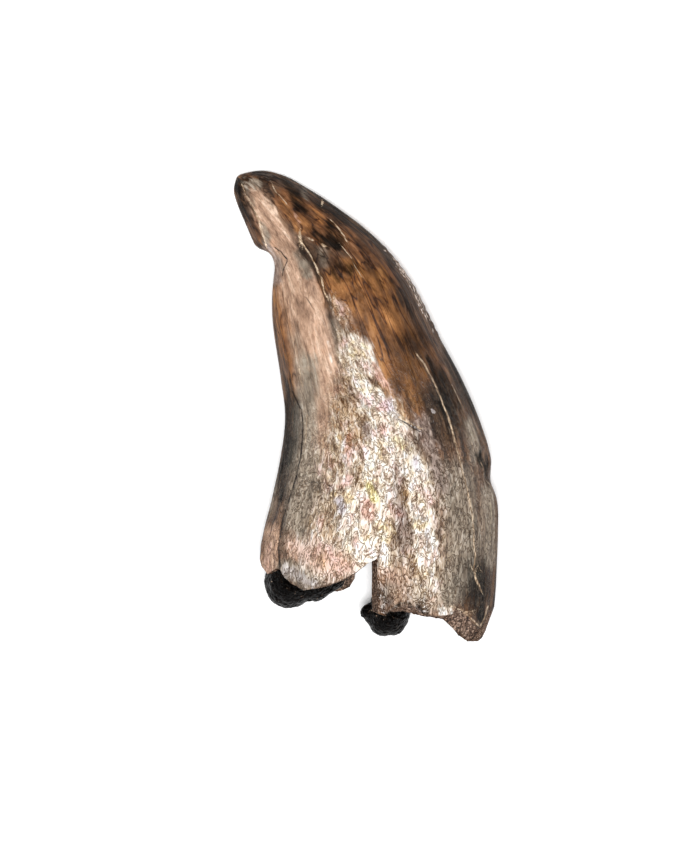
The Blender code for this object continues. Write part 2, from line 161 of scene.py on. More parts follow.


# Where each stain lies on the near side, seen from above, in millimetres from the middle of the
# tooth's box; some dabs are painted highlights, glints and shade. Dabs of one stain add up;
# which stain covers which is up to the finish.
STAINS: dict[Stain, tuple[Dab, ...]] = {
    Stain.BAND_AND_HIGHLIGHT: (
        Dab(((-6.8, 13.0), (-6.4, 12.2), (-5.9, 11.2), (-5.5, 10.3), (-5.2, 9.4)), 0.6, 1.0),
        Dab(((-5.2, 9.4), (-4.6, 7.9), (-4.1, 6.5), (-3.6, 4.8), (-3.2, 3.2),
            (-3.1, 1.9)), 1.05, 1.0, 1.15),
        Dab(((-2.9, 1.9), (-2.8, 0.1), (-2.7, -1.7), (-2.8, -3.4)), 0.8, 0.9, 0.9),
        Dab(((-3.7, 7.6), (-3.2, 6.3), (-2.8, 5.1)), 0.45, 0.85),
        # A thin painted highlight along the carina's ridge.
        Dab(((-5.6, 12.2), (-5.3, 11.5), (-5.0, 10.8), (-4.6, 10.1)), 0.1, 0.8, 0.1),
        Dab(((-2.8, 5.4), (-2.3, 4.4), (-2.1, 3.5), (-1.9, 2.0), (-1.8, 0.4)), 0.35, 0.9),
        Dab(((-2.2, 3.6), (-2.0, 3.0), (-1.9, 2.2)), 0.15, 0.9, 0.15),
        Dab(((-4.0, -8.9), (-2.8, -9.6), (-1.8, -9.7), (-0.7, -9.3)), 1.15, 1.0, 1.15),
        Dab(((-1.5, -8.4), (-0.7, -9.3)), 0.75, 0.6),
        Dab(((1.2, -10.3), (2.2, -10.9), (2.4, -11.8)), 0.9, 0.9, 1.0),
        Dab(((-3.2, -7.9), (-2.6, -8.7), (-2.0, -9.2)), 0.8, 0.9, 0.9),
        Dab(((4.4, -12.5), (5.1, -12.9)), 0.45, 1.0, 0.4),
        Dab(((-0.9, 5.5), (-0.5, 4.4)), 0.25, 0.45, 0.25),
        Dab(((-5.7, -8.1), (-5.8, -9.1), (-6.0, -10.3)), 0.5, 1.0),
        Dab(((4.5, -12.8), (5.0, -12.9)), 0.25, 1.0, 0.2),
        # Painted light on the notch's wall, which faces away from the lamp.
        Dab(((0.6, -9.9), (0.6, -12.0)), 0.1, 0.8),
        Dab(((-3.0, -9.1), (-1.8, -9.7), (-1.0, -9.5)), 0.75, 1.0),
    ),
    # Black stains; the dabs along the margins and above the matrix are painted shade.
    Stain.UMBER_AND_SHADE: (
        Dab(((-2.1, 5.3), (-1.7, 3.4)), 0.35, 0.6),
        Dab(((-4.9, 10.1), (-4.2, 8.7)), 0.1, 0.3, 0.1),
        Dab(((-1.2, 10.4), (0.2, 9.0), (1.5, 7.4)), 0.45, 0.3),
        Dab(((-0.7, 8.7), (0.5, 6.9)), 0.2, 0.5),
        Dab(((2.1, 6.3), (3.4, 3.8)), 0.35, 0.15, 0.45),
        Dab(((2.3, 3.6), (3.4, 0.7), (4.4, -2.1)), 0.8, 0.56, 0.9),
        Dab(((1.2, 6.3), (2.0, 5.2)), 0.55, 0.3),
        Dab(((1.7, 1.1), (2.3, 0.0)), 0.5, 0.2),
        Dab(((4.5, 0.4), (5.3, -1.0), (5.6, -2.0)), 0.75, 0.5),
        Dab(((5.0, 0.0), (6.0, -1.1)), 0.35, 0.5),
        Dab(((7.1, -10.3), (7.3, -12.1)), 0.5, 0.7),
        Dab(((-4.0, 13.7), (-2.1, 12.5), (-0.2, 11.1), (1.6, 8.7), (3.1, 6.2)), 0.7, 0.3),
        Dab(((1.3, 1.8), (2.2, 0.6), (2.9, -0.1)), 0.5, 0.3),
        Dab(((3.4, 4.0), (4.3, 2.4)), 0.45, 0.6),
        Dab(((7.0, -7.3), (7.1, -9.7)), 0.5, 0.2),
        Dab(((5.5, -11.4), (6.2, -11.8), (7.1, -11.7)), 0.65, 0.35, 0.75),
        # Painted shade where the margin by the ledge turns away.
        Dab(((-6.3, 9.8), (-5.9, 8.9), (-5.7, 7.3)), 0.3, 0.6),
        Dab(((6.0, -8.1), (6.7, -9.3)), 0.7, 0.25),
        Dab(((5.0, -4.4), (5.1, -6.0)), 0.55, 0.4),
        Dab(((-5.1, -4.1), (-5.2, -6.0)), 0.3, 0.6),
        Dab(((-4.9, -8.0), (-5.0, -9.1)), 0.3, 0.65, 0.3),
        Dab(((-4.1, -0.5), (-4.2, -2.9), (-4.5, -5.4)), 0.45, 0.35),
        Dab(((-8.0, 13.8), (-7.6, 14.3), (-6.4, 14.5), (-5.0, 14.2)), 0.25, 0.85, 0.25),
        Dab(((-8.0, 13.7), (-7.8, 12.9), (-7.4, 12.0)), 0.3, 0.85, 0.3),
        Dab(((-7.2, 11.7), (-6.7, 10.8), (-6.3, 9.9)), 0.25, 0.45, 0.25),
        Dab(((-4.8, 13.8), (-4.4, 13.2), (-4.1, 12.4)), 0.3, 1.0, 0.3),
        Dab(((-3.9, 12.4), (-3.6, 12.0)), 0.2, 0.85, 0.2),
        Dab(((-5.0, 14.0), (-4.6, 13.8)), 0.2, 0.85, 0.2),
        Dab(((-2.8, 12.5), (-1.9, 11.9), (-1.4, 11.4)), 0.3, 0.8),
        Dab(((-4.0, 13.5), (-2.4, 12.5), (-0.9, 11.4), (0.7, 10.0), (1.7, 8.6)), 0.25, 0.5, 0.35),
        Dab(((-2.4, 10.2), (-1.7, 10.0)), 0.45, 1.0, 0.4),
        Dab(((-3.1, 10.6), (-2.6, 10.3)), 0.25, 0.9, 0.25),
        Dab(((-2.1, 11.1), (-1.8, 10.5)), 0.3, 0.9, 0.3),
        Dab(((-2.1, 9.7), (-1.6, 9.6)), 0.2, 0.8, 0.2),
        Dab(((-4.0, 9.6), (-3.5, 9.0), (-3.1, 8.3), (-2.8, 7.6)), 0.25, 0.6, 0.25),
        Dab(((-2.8, 7.6), (-2.5, 6.8), (-2.1, 5.9)), 0.2, 0.6),
        Dab(((-3.7, 9.8), (-3.0, 9.5), (-2.1, 8.9)), 0.3, 0.35),
        Dab(((-2.9, 8.7), (-2.2, 8.1)), 0.3, 0.45),
        Dab(((-1.6, 8.4), (-0.8, 8.0)), 0.3, 0.8),
        Dab(((-1.9, 8.0), (-1.6, 7.6)), 0.2, 0.7),
        Dab(((2.4, 6.1), (2.8, 5.3), (3.1, 4.6)), 0.35, 0.25),
        Dab(((2.5, 4.1), (2.9, 3.2), (3.4, 2.3)), 0.2, 0.4),
        Dab(((3.9, 2.8), (4.2, 2.0), (4.7, 0.8)), 0.1, 1.0),
        Dab(((4.9, 1.5), (5.3, 0.5), (5.7, -0.1)), 0.35, 0.9),
        Dab(((4.7, 0.6), (4.9, -0.5)), 0.2, 0.7, 0.2),
        Dab(((5.1, 3.1), (5.5, 2.3), (6.1, 1.0), (6.7, -0.5)), 0.3, 0.8),
        Dab(((7.0, -3.3), (7.5, -3.7)), 0.2, 0.95),
        Dab(((7.4, -3.1), (7.8, -4.6)), 0.2, 0.6, 0.2),
        # Painted shade down the distal flank, which turns away.
        Dab(((-4.7, 1.5), (-4.6, 0.0)), 0.25, 0.7, 0.35),
        Dab(((-4.6, -0.1), (-4.6, -1.7), (-4.7, -3.1), (-4.9, -3.9)), 0.45, 0.9),
        Dab(((-4.9, -3.9), (-5.1, -4.8), (-5.2, -5.8)), 0.2, 0.6),
        Dab(((-5.2, -5.5), (-5.4, -6.7)), 0.25, 0.3, 0.45),
        Dab(((6.3, -10.3), (6.6, -11.1), (6.6, -12.0)), 0.8, 0.6, 0.9),
        Dab(((7.9, -6.0), (8.0, -8.5)), 0.1, 0.4, 0.2),
        Dab(((7.1, -12.9), (7.2, -13.4)), 0.3, 0.95, 0.2),
        Dab(((1.9, -7.8), (2.4, -8.5), (2.8, -7.9)), 0.55, 0.6),
        Dab(((1.9, -4.1), (2.2, -6.0)), 0.2, 0.5, 0.3),
        Dab(((-1.6, 1.1), (-1.2, -0.1)), 0.2, 0.6, 0.2),
        Dab(((-1.2, -0.4), (-0.9, -1.7)), 0.2, 0.5),
        Dab(((0.1, 8.7), (1.0, 7.4)), 0.2, 0.3),
        Dab(((1.7, 7.3), (3.1, 5.2), (4.1, 3.5)), 0.2, 0.35),
        # Painted shadow on the break above the notch's lump.
        Dab(((2.0, -12.6), (2.7, -12.4), (3.4, -12.7)), 0.15, 0.9, 0.15),
        # More painted shade at the margin by the ledge.
        Dab(((-6.1, 10.2), (-5.9, 8.5)), 0.3, 0.35),
        Dab(((-4.9, 4.2), (-4.5, 2.6)), 0.35, 0.25, 0.45),
        Dab(((-4.1, 0.8), (-4.1, -1.0)), 0.35, 0.25, 0.45),
        Dab(((4.6, 1.9), (5.0, 0.9)), 0.3, 0.55),
    ),
    # Painted highlights where the lamp's reflection falls on the crown's crest and on the worn
    # base.
    Stain.PAINTED_HIGHLIGHT: (
        Dab(((-2.7, 5.3), (-2.4, 4.6)), 0.05, 0.35),
        Dab(((-2.2, 3.7), (-2.0, 2.9), (-1.9, 2.2)), 0.1, 0.4, 0.1),
        Dab(((-3.2, -7.8), (-2.7, -8.9)), 0.45, 0.35),
        Dab(((5.1, -12.7), (6.0, -13.2)), 0.1, 0.6, 0.2),
        Dab(((-0.7, 3.7), (0.0, 3.2)), 0.5, 1.0),
        Dab(((-0.1, 3.1), (0.4, 2.0)), 0.45, 0.95),
        Dab(((1.4, 0.0), (1.9, -1.2)), 0.35, 1.0),
        Dab(((-3.4, -10.0), (-2.2, -10.5), (-1.1, -10.0)), 0.5, 0.8),
        Dab(((-3.3, -8.8), (-1.8, -9.4)), 0.6, 0.55, 0.7),
        Dab(((-0.3, 1.5), (0.1, 0.7), (0.3, 0.0)), 0.35, 1.0),
        Dab(((0.8, 0.7), (1.2, 0.0), (1.6, -0.9)), 0.25, 0.8),
        Dab(((1.4, -1.6), (1.8, -2.2), (2.0, -2.8)), 0.75, 1.0),
        Dab(((0.8, -0.4), (1.4, -1.3)), 0.45, 0.7),
        Dab(((1.9, -2.1), (2.8, -2.7)), 0.35, 0.6, 0.5),
        Dab(((1.0, -2.7), (1.1, -5.3), (1.1, -7.8), (1.0, -9.0)), 0.7, 1.0),
        Dab(((0.1, -2.9), (0.5, -4.7), (0.3, -6.6)), 0.5, 0.8),
        Dab(((0.1, -0.4), (0.7, -1.0)), 0.35, 0.7),
        Dab(((-3.9, -8.7), (-2.6, -9.6), (-1.1, -9.7)), 0.85, 0.45, 0.95),
        Dab(((-0.9, -7.4), (-0.1, -8.9)), 0.7, 0.7),
        Dab(((0.1, -6.0), (0.0, -7.8), (-0.4, -9.3)), 0.7, 0.85),
        Dab(((2.9, -3.7), (3.3, -5.0), (3.6, -7.2), (3.8, -9.4)), 0.6, 1.0, 0.7),
        Dab(((3.6, -6.0), (3.8, -7.8), (3.8, -9.6)), 0.5, 1.0),
        Dab(((-1.2, -4.7), (-1.0, -6.9), (-0.9, -8.7)), 0.75, 0.65),
        Dab(((-1.6, -2.1), (-1.0, -3.5)), 0.55, 0.55),
        Dab(((3.0, -4.1), (3.4, -5.1)), 0.5, 0.8),
        Dab(((-1.1, 2.8), (-0.6, 1.6), (-0.1, 0.0)), 0.35, 0.5, 0.45),
        Dab(((1.7, -9.9), (2.3, -11.5)), 0.5, 0.25),
        Dab(((4.7, -12.7), (4.9, -12.8)), 0.3, 0.9, 0.3),
        Dab(((-1.6, 6.1), (-1.4, 5.8)), 0.2, 0.55, 0.2),
        Dab(((-0.3, -9.3), (-1.2, -9.8)), 0.8, 0.65),
        Dab(((3.8, -9.4), (4.0, -11.3)), 0.4, 1.0, 0.5),
        Dab(((3.3, -6.8), (3.6, -8.9)), 0.4, 0.8),
        Dab(((2.2, -1.3), (2.9, -1.9)), 0.35, 0.55, 0.45),
        Dab(((-2.1, 2.6), (-2.0, 1.2)), 0.15, 0.35),
        Dab(((-0.4, 2.8), (-0.1, 2.0)), 0.3, 0.7),
    ),
    # Mostly painted shade: in the shallow groove between the highlight stripes and at the margin by
    # the ledge.
    Stain.MAUVE_AND_SHADE: (
        Dab(((-6.1, 9.6), (-5.6, 8.8), (-5.4, 7.6)), 0.35, 0.95),
        Dab(((2.0, -3.6), (2.0, -6.0), (2.4, -7.8)), 0.5, 0.8),
        Dab(((3.4, -1.3), (4.1, -2.9), (4.7, -5.0)), 0.6, 0.75, 0.7),
        Dab(((1.5, 1.2), (2.0, 0.4)), 0.3, 0.6),
        Dab(((4.6, -9.6), (5.1, -11.4)), 0.5, 0.25),
        Dab(((-7.1, 14.3), (-5.9, 14.3)), 0.25, 0.4, 0.25),
        Dab(((2.7, -2.9), (2.8, -3.9)), 0.35, 0.7),
        Dab(((0.0, -1.5), (0.4, -2.4)), 0.45, 0.7),
        Dab(((2.0, -7.8), (2.4, -8.6), (2.8, -8.0)), 0.5, 0.8),
    ),
    Stain.ASH_AND_SHADE: (
        Dab(((-4.2, 3.8), (-3.8, 2.3), (-3.6, 0.6)), 0.45, 0.5),
        Dab(((-6.6, 12.2), (-6.0, 10.4), (-5.5, 8.8)), 0.15, 0.15),
        Dab(((-4.0, 6.3), (-3.6, 4.5)), 0.2, 0.1),
        Dab(((1.4, -11.5), (2.8, -11.9), (4.6, -11.8)), 0.55, 0.5),
        Dab(((6.5, -1.4), (7.0, -3.3)), 0.4, 0.7),
        Dab(((-5.6, -4.2), (-6.0, -6.8)), 0.35, 0.8),
        Dab(((-4.1, -0.4), (-4.2, -2.9), (-4.4, -5.4)), 0.3, 0.5),
        Dab(((-7.5, 13.9), (-6.7, 13.8)), 0.3, 0.8, 0.3),
        Dab(((-7.4, 13.3), (-7.0, 12.5)), 0.2, 0.5, 0.2),
        Dab(((-6.3, 11.1), (-6.0, 10.2)), 0.2, 0.7),
        Dab(((-3.7, 8.6), (-3.5, 7.8)), 0.3, 0.8, 0.3),
        Dab(((-4.2, 9.5), (-3.8, 8.7)), 0.25, 0.5, 0.25),
        Dab(((-2.6, 9.5), (-2.4, 8.6)), 0.3, 0.45),
        Dab(((-3.8, 13.4), (-3.6, 12.9)), 0.2, 0.6),
        Dab(((-5.5, 9.1), (-5.2, 8.4)), 0.3, 0.6),
        # These three dabs are painted shade on the band's left, where the crown turns away.
        Dab(((-3.4, 2.1), (-3.5, -0.5), (-3.5, -2.3), (-3.6, -4.2)), 0.6, 0.95, 0.7),
        Dab(((-3.7, -3.9), (-3.8, -5.7), (-4.0, -7.5)), 0.8, 1.0, 0.9),
        Dab(((-2.8, -3.8), (-2.9, -5.7), (-3.3, -7.2)), 0.7, 0.7),
        Dab(((-4.7, -10.2), (-3.9, -10.7), (-3.2, -11.0)), 0.6, 1.0, 0.5),
        Dab(((-1.9, 4.9), (-1.4, 3.5), (-1.1, 1.7)), 0.35, 0.6),
        Dab(((5.5, -5.1), (5.7, -6.9), (5.9, -8.7), (5.7, -10.1)), 1.25, 0.9, 1.35),
        Dab(((7.7, -5.5), (7.8, -7.9), (7.8, -10.0)), 0.35, 1.0),
        Dab(((4.0, -3.2), (4.2, -4.6)), 0.55, 0.4),
        Dab(((3.3, -11.3), (4.6, -12.2)), 0.6, 0.6, 0.7),
        Dab(((-2.1, -5.7), (-2.3, -6.5)), 0.45, 0.6, 0.4),
        Dab(((5.2, -9.8), (5.4, -11.0), (5.3, -11.9)), 0.6, 0.9, 0.7),
    ),
    Stain.AMBER: (
        Dab(((-1.7, 7.5), (-0.6, 5.8), (0.5, 4.1), (1.5, 2.5), (2.4, 1.0),
            (2.9, -0.4)), 0.95, 1.0, 0.95),
        Dab(((-0.7, 8.0), (0.4, 6.8), (1.5, 5.2), (2.4, 3.3), (3.2, 1.5)), 0.8, 0.9, 0.9),
        Dab(((0.5, 7.6), (1.7, 5.9), (2.7, 4.1)), 0.45, 0.5),
        Dab(((-3.2, 12.2), (-2.7, 11.3)), 0.3, 0.6),
        Dab(((-5.4, 7.5), (-5.2, 6.4), (-5.0, 4.8), (-4.6, 3.2)), 0.5, 1.0, 0.6),
        Dab(((-4.7, 3.5), (-4.5, 2.3), (-4.3, 1.4)), 0.3, 0.9),
        Dab(((-5.1, 12.7), (-4.4, 11.3), (-4.0, 10.4)), 0.3, 0.6),
        Dab(((-1.5, 0.4), (-1.0, -1.4), (-0.4, -3.0)), 0.85, 0.85, 0.95),
        Dab(((-3.3, 7.3), (-2.6, 6.0)), 0.25, 0.5),
        Dab(((-4.1, 11.8), (-3.5, 11.0)), 0.35, 0.6),
        Dab(((1.0, 8.1), (1.8, 6.8)), 0.3, 0.6),
        Dab(((-1.4, 6.0), (-0.7, 4.8)), 0.5, 0.8),
        Dab(((7.7, -6.0), (7.8, -9.7)), 0.25, 0.5),
        Dab(((0.5, 2.5), (1.2, 1.1), (1.8, 0.2)), 0.3, 0.8),
    ),
    Stain.RUST: (
        Dab(((-7.7, 14.5), (-6.4, 14.5), (-5.2, 14.3)), 0.3, 1.0),
        Dab(((-7.1, 11.9), (-6.7, 11.0), (-6.3, 9.9)), 0.3, 0.9),
        Dab(((-5.0, 12.8), (-4.2, 11.8), (-3.5, 11.0), (-3.0, 10.6)), 0.7, 1.0, 0.65),
        Dab(((-5.0, 4.5), (-4.7, 2.9), (-4.4, 1.5), (-4.1, 0.4)), 0.3, 0.9),
        Dab(((-2.1, 6.9), (-1.2, 5.8)), 0.45, 0.6),
        Dab(((2.1, 1.0), (2.9, -0.5), (3.6, -2.0), (4.2, -3.2)), 0.6, 0.8, 0.7),
        Dab(((3.4, 3.8), (4.5, 2.0), (5.4, 0.1)), 0.55, 0.7),
        Dab(((-2.1, 8.7), (-0.9, 7.9), (0.5, 6.5)), 0.5, 0.7),
        Dab(((1.9, -4.1), (2.2, -5.3), (2.4, -6.4)), 0.3, 0.6),
        Dab(((-3.7, 12.7), (-1.8, 11.1), (0.1, 9.1), (1.6, 7.3)), 0.75, 1.0),
        Dab(((2.2, 6.0), (3.8, 3.5), (5.0, 1.1)), 0.45, 0.5),
        Dab(((1.6, -11.5), (3.1, -12.1), (4.0, -12.5)), 0.25, 0.25, 0.25),
        Dab(((-6.2, -9.3), (-6.3, -10.1)), 0.15, 0.6, 0.15),
        Dab(((-5.6, -9.7), (-5.7, -10.7)), 0.15, 0.6, 0.15),
        Dab(((-6.1, -8.5), (-6.3, -9.8), (-6.3, -10.7)), 0.2, 0.8, 0.2),
    ),
    Stain.CRUMB: (
        Dab(((1.3, 9.5), (2.3, 8.4)), 0.15, 0.5),
        Dab(((2.1, 8.4), (2.8, 7.6)), 0.15, 0.8),
        Dab(((2.8, 7.6), (3.2, 6.9), (3.5, 6.3)), 0.25, 1.0, 0.25),
        Dab(((3.4, 6.4), (3.8, 5.5)), 0.2, 0.8),
        Dab(((3.8, 5.5), (4.2, 4.5)), 0.15, 0.5),
    ),
    Stain.ROSE: (
        Dab(((-1.7, 6.3), (-1.3, 5.7)), 0.3, 0.35),
        Dab(((1.3, 1.2), (1.7, 0.5)), 0.25, 0.4, 0.25),
        Dab(((0.2, -6.3), (0.3, -6.9)), 0.45, 0.9, 0.4),
        Dab(((-2.6, -9.0), (-1.5, -9.7)), 0.75, 0.6),
        Dab(((-4.2, -8.8), (-3.3, -9.7), (-2.1, -10.4), (-0.9, -10.1)), 0.75, 0.5),
        Dab(((-5.9, -8.9), (-6.1, -9.9), (-5.9, -10.5)), 0.25, 0.6, 0.25),
        Dab(((-1.4, 5.9), (-0.9, 5.0)), 0.35, 0.35),
        Dab(((-4.3, 11.7), (-4.0, 11.3)), 0.25, 0.4, 0.25),
        Dab(((1.6, -10.5), (2.2, -11.5)), 0.55, 0.3),
        Dab(((2.3, -12.6), (3.1, -12.7)), 0.35, 0.5, 0.3),
        Dab(((1.6, 0.1), (2.1, -0.9)), 0.25, 0.3, 0.25),
        Dab(((0.6, 2.2), (1.2, 1.0)), 0.2, 0.8),
        Dab(((1.3, -9.6), (1.9, -10.6), (2.6, -11.3)), 0.6, 0.2, 0.7),
    ),
    # The crinkled, worn enamel; its near-white crests are painted glints.
    Stain.FOIL_AND_GLINTS: (
        Dab(((-0.7, 3.8), (-0.1, 2.6)), 0.55, 0.8),
        Dab(((-0.4, 2.2), (0.4, 0.7), (1.0, -0.6)), 0.75, 1.0),
        Dab(((-1.3, 0.4), (-1.1, -1.7)), 0.95, 0.9),
        Dab(((1.1, -1.1), (1.4, -2.6)), 1.4, 1.0, 1.35),
        Dab(((0.8, -3.5), (0.6, -6.0), (0.2, -8.1)), 1.85, 1.0, 1.45),
        Dab(((-1.4, -3.5), (-1.2, -6.0), (-1.4, -8.1)), 1.5, 0.9, 1.45),
        Dab(((3.0, -4.1), (3.6, -6.6), (3.8, -9.6)), 1.0, 1.0),
        Dab(((2.2, -6.0), (2.3, -8.4)), 0.85, 0.6, 0.95),
        Dab(((-1.9, 6.4), (-1.4, 5.4)), 0.35, 0.75),
        Dab(((-1.5, 4.3), (-1.3, 3.1), (-1.1, 1.3)), 0.45, 0.6),
        Dab(((1.9, -10.2), (2.5, -11.9)), 0.85, 0.4, 0.95),
        Dab(((-3.9, -9.9), (-1.8, -10.3)), 0.85, 0.3, 0.95),
        Dab(((5.2, -4.5), (5.7, -6.6), (5.3, -9.6)), 1.2, 0.2, 1.4),
        Dab(((-2.8, -7.2), (-2.1, -9.0)), 0.85, 0.6, 0.95),
        Dab(((3.8, -9.6), (4.0, -11.4)), 0.7, 0.9, 0.8),
        Dab(((-1.3, 5.6), (-1.0, 5.0)), 0.35, 0.5),
    ),
    Stain.CORE: (
        Dab(((5.7, -13.2), (6.2, -13.8), (6.7, -14.3), (7.3, -14.4)), 0.35, 1.0, 0.2),
        Dab(((5.7, -12.9), (6.2, -13.1)), 0.25, 1.0, 0.2),
    ),
    # Mostly painted iridescent glints of gold.
    Stain.GILT_AND_GLINT: (
        Dab(((7.8, -6.3), (7.8, -8.8)), 0.1, 0.4, 0.2),
        Dab(((0.4, -5.2), (0.6, -5.9)), 0.3, 1.0, 0.3),
        Dab(((-0.1, 3.6), (0.2, 3.3)), 0.2, 0.5, 0.2),
        Dab(((1.9, -2.2), (2.4, -2.7)), 0.35, 0.5),
    ),
    # Mostly painted pearly glints; the dab at the base's left corner is its bluish grey.
    Stain.PEARL_AND_GLINT: (
        Dab(((-1.6, -5.9), (-1.4, -6.6)), 0.3, 1.0, 0.3),
        Dab(((1.4, 0.0), (1.9, -0.9)), 0.3, 0.8),
        Dab(((3.1, -3.5), (3.3, -4.1)), 0.25, 0.9, 0.25),
        Dab(((4.2, -0.5), (4.3, -0.6)), 0.1, 1.0, 0.1),
        Dab(((-4.7, -10.2), (-3.9, -10.7), (-3.2, -11.0)), 0.55, 0.55),
        Dab(((3.7, -7.0), (3.8, -8.8)), 0.3, 0.6, 0.4),
        Dab(((-2.1, -5.2), (-2.2, -5.9)), 0.3, 0.5),
    ),
}

# The stains that ran along the fibres, so that their ends are drawn out.
STREAKED = (Stain.BAND_AND_HIGHLIGHT, Stain.AMBER, Stain.RUST, Stain.UMBER_AND_SHADE, Stain.ASH_AND_SHADE)

# The cracks of the near side, in the same millimetres.
CRACKS: dict[Vein, tuple[Crack, ...]] = {
    Vein.PALE: (
        Crack(((-7.7, 13.8), (-7.5, 13.3), (-7.1, 12.5), (-6.6, 11.5), (-6.4, 10.7),
            (-6.1, 9.8)), 0.06, 1.0),
        Crack(((-4.1, 10.4), (-3.7, 9.7), (-3.3, 9.1), (-3.0, 8.5), (-2.8, 8.0), (-2.6, 7.6),
            (-2.5, 6.9), (-2.2, 6.3)), 0.07, 1.0),
        Crack(((-4.0, 10.6), (-4.0, 9.9)), 0.14, 0.9),
        Crack(((-2.1, 11.4), (-1.6, 10.9), (-1.3, 10.4), (-1.0, 9.9)), 0.06, 0.9),
        Crack(((-1.4, 9.7), (-0.9, 9.1), (-0.6, 8.5), (-0.1, 7.7)), 0.05, 0.7),
        Crack(((3.2, 3.0), (3.7, 2.3), (4.2, 1.4), (4.5, 0.7), (5.1, -0.8), (5.4, -1.8),
            (5.7, -3.1), (6.0, -4.2), (6.3, -5.4), (6.6, -6.9), (6.7, -8.0), (6.7, -8.9),
            (6.8, -9.4), (6.7, -10.1), (6.8, -10.8), (7.2, -11.6)), 0.08, 1.0),
        Crack(((6.5, -10.0), (6.7, -10.4), (7.0, -10.0), (7.2, -10.4)), 0.04, 0.6),
        Crack(((5.2, -12.4), (5.7, -12.6), (6.2, -12.8), (6.6, -12.8)), 0.05, 0.9),
        Crack(((5.4, 1.1), (6.0, -0.2)), 0.04, 0.6),
        Crack(((-5.8, 13.8), (-5.5, 13.2)), 0.05, 0.7),
        Crack(((-5.4, 13.1), (-4.8, 12.4)), 0.04, 0.6),
        Crack(((-3.5, -0.7), (-3.6, -2.5)), 0.05, 0.6),
        Crack(((-4.0, 2.1), (-3.8, 1.0)), 0.06, 0.7),
        Crack(((-4.7, 7.9), (-4.6, 7.4)), 0.05, 0.6),
        Crack(((-2.8, -6.0), (-2.7, -6.6), (-2.2, -7.2), (-1.5, -7.1)), 0.06, 0.8),
        Crack(((2.1, -0.9), (2.6, -1.2), (3.4, -1.6)), 0.06, 0.9),
        Crack(((6.1, -12.8), (6.6, -13.3), (7.1, -13.8), (7.4, -13.3), (7.6, -12.6)), 0.07, 1.0),
        Crack(((7.3, -3.7), (7.6, -4.7), (7.9, -5.2)), 0.05, 0.7),
        Crack(((-2.6, 12.6), (-2.6, 12.5)), 0.11, 1.0),
        Crack(((-3.4, 10.2), (-3.2, 10.1)), 0.11, 0.7),
        Crack(((-2.6, 9.8), (-2.4, 9.7)), 0.11, 0.7),
    ),
    Vein.DARK_AND_SHADOW: (
        # A painted shadow beside the raised pale crack on the mesial side.
        Crack(((4.5, 0.2), (4.9, -1.0), (5.2, -2.1), (5.5, -3.4), (5.9, -4.6), (6.2, -6.0),
            (6.4, -7.2), (6.5, -8.7), (6.6, -10.0)), 0.05, 0.6),
        Crack(((-5.6, 9.7), (-5.2, 9.4), (-4.8, 8.9)), 0.06, 1.0),
        Crack(((-4.8, 8.8), (-5.0, 8.4), (-5.1, 8.2), (-5.1, 7.9)), 0.05, 1.0),
        Crack(((-4.5, 0.7), (-3.9, -0.5), (-3.8, -1.4), (-3.9, -3.1), (-4.2, -4.6), (-4.7, -6.2),
            (-5.0, -7.1), (-5.1, -7.5), (-5.3, -9.0), (-5.2, -10.1), (-5.2, -10.5)), 0.07, 1.0),
        Crack(((2.2, -1.1), (2.7, -1.4), (3.4, -1.8)), 0.06, 0.9),
        Crack(((-3.9, -5.1), (-3.3, -4.9), (-2.5, -4.9), (-2.0, -5.2)), 0.05, 0.6),
        Crack(((-2.3, -7.2), (-2.2, -7.9)), 0.05, 0.6),
        Crack(((-2.8, -5.1), (-2.6, -5.9)), 0.09, 0.5),
        Crack(((3.9, 2.7), (4.4, 1.7), (4.8, 0.6)), 0.07, 0.8),
        Crack(((-3.6, 6.5), (-3.1, 5.7)), 0.05, 0.6),
    ),
}


def smooth_step(low: float, high: float, x: Array) -> Array:
    """An even S-curve, 3t^2 - 2t^3, from 0 at low to 1 at high.

    Args:
        low: Where the curve leaves 0.
        high: Where it reaches 1.
        x: The values to shape.

    Returns:
        The shaped values, as many as x.
    """
    t = np.clip((x - low) / (high - low), 0.0, 1.0)
    return t * t * (3 - 2 * t)


def bell(x: Array, width: float) -> Array:
    """A bump of height 1 at 0, e to the power of minus (x / width) squared.

    Args:
        x: Distance from the bump's middle.
        width: Where the bump has fallen to 0.37.

    Returns:
        The bump's height at each x.
    """
    return np.exp(-((x / width) ** 2))


def lattice_noise(points: Array, seed: int) -> Array:
    """Smooth noise from about -1 to 1. Each corner of the unit cube round a point has a slope
    drawn from a hash of the corner; the eight slopes, each times the way from its corner, are
    blended with the curve 6t^5 - 15t^4 + 10t^3.

    Args:
        points: Array that ends in three coordinates.
        seed: Picks one of many noises.

    Returns:
        One value for each point.
    """
    base = np.floor(points).astype(np.int64)
    part = points - base
    fade = part**3 * (part * (part * 6 - 15) + 10)
    total = np.zeros(points.shape[:-1])
    for corner in np.ndindex(2, 2, 2):
        cell = base + np.array(corner)
        mixed = np.sum(cell * np.array(HASH_CELL), axis=-1) + seed * HASH_SEED
        mixed = mixed & HASH_BITS
        mixed = ((mixed ^ (mixed >> 13)) * HASH_MIX) & HASH_BITS
        mixed = mixed ^ (mixed >> 16)
        slope = np.stack([(mixed >> shift & 255) / 127.5 - 1 for shift in (0, 7, 14)], axis=-1)
        weight = np.prod(np.where(np.array(corner) == 1, fade, 1 - fade), axis=-1)
        total += weight * np.sum(slope * (part - np.array(corner)), axis=-1)
    return total * NOISE_GAIN


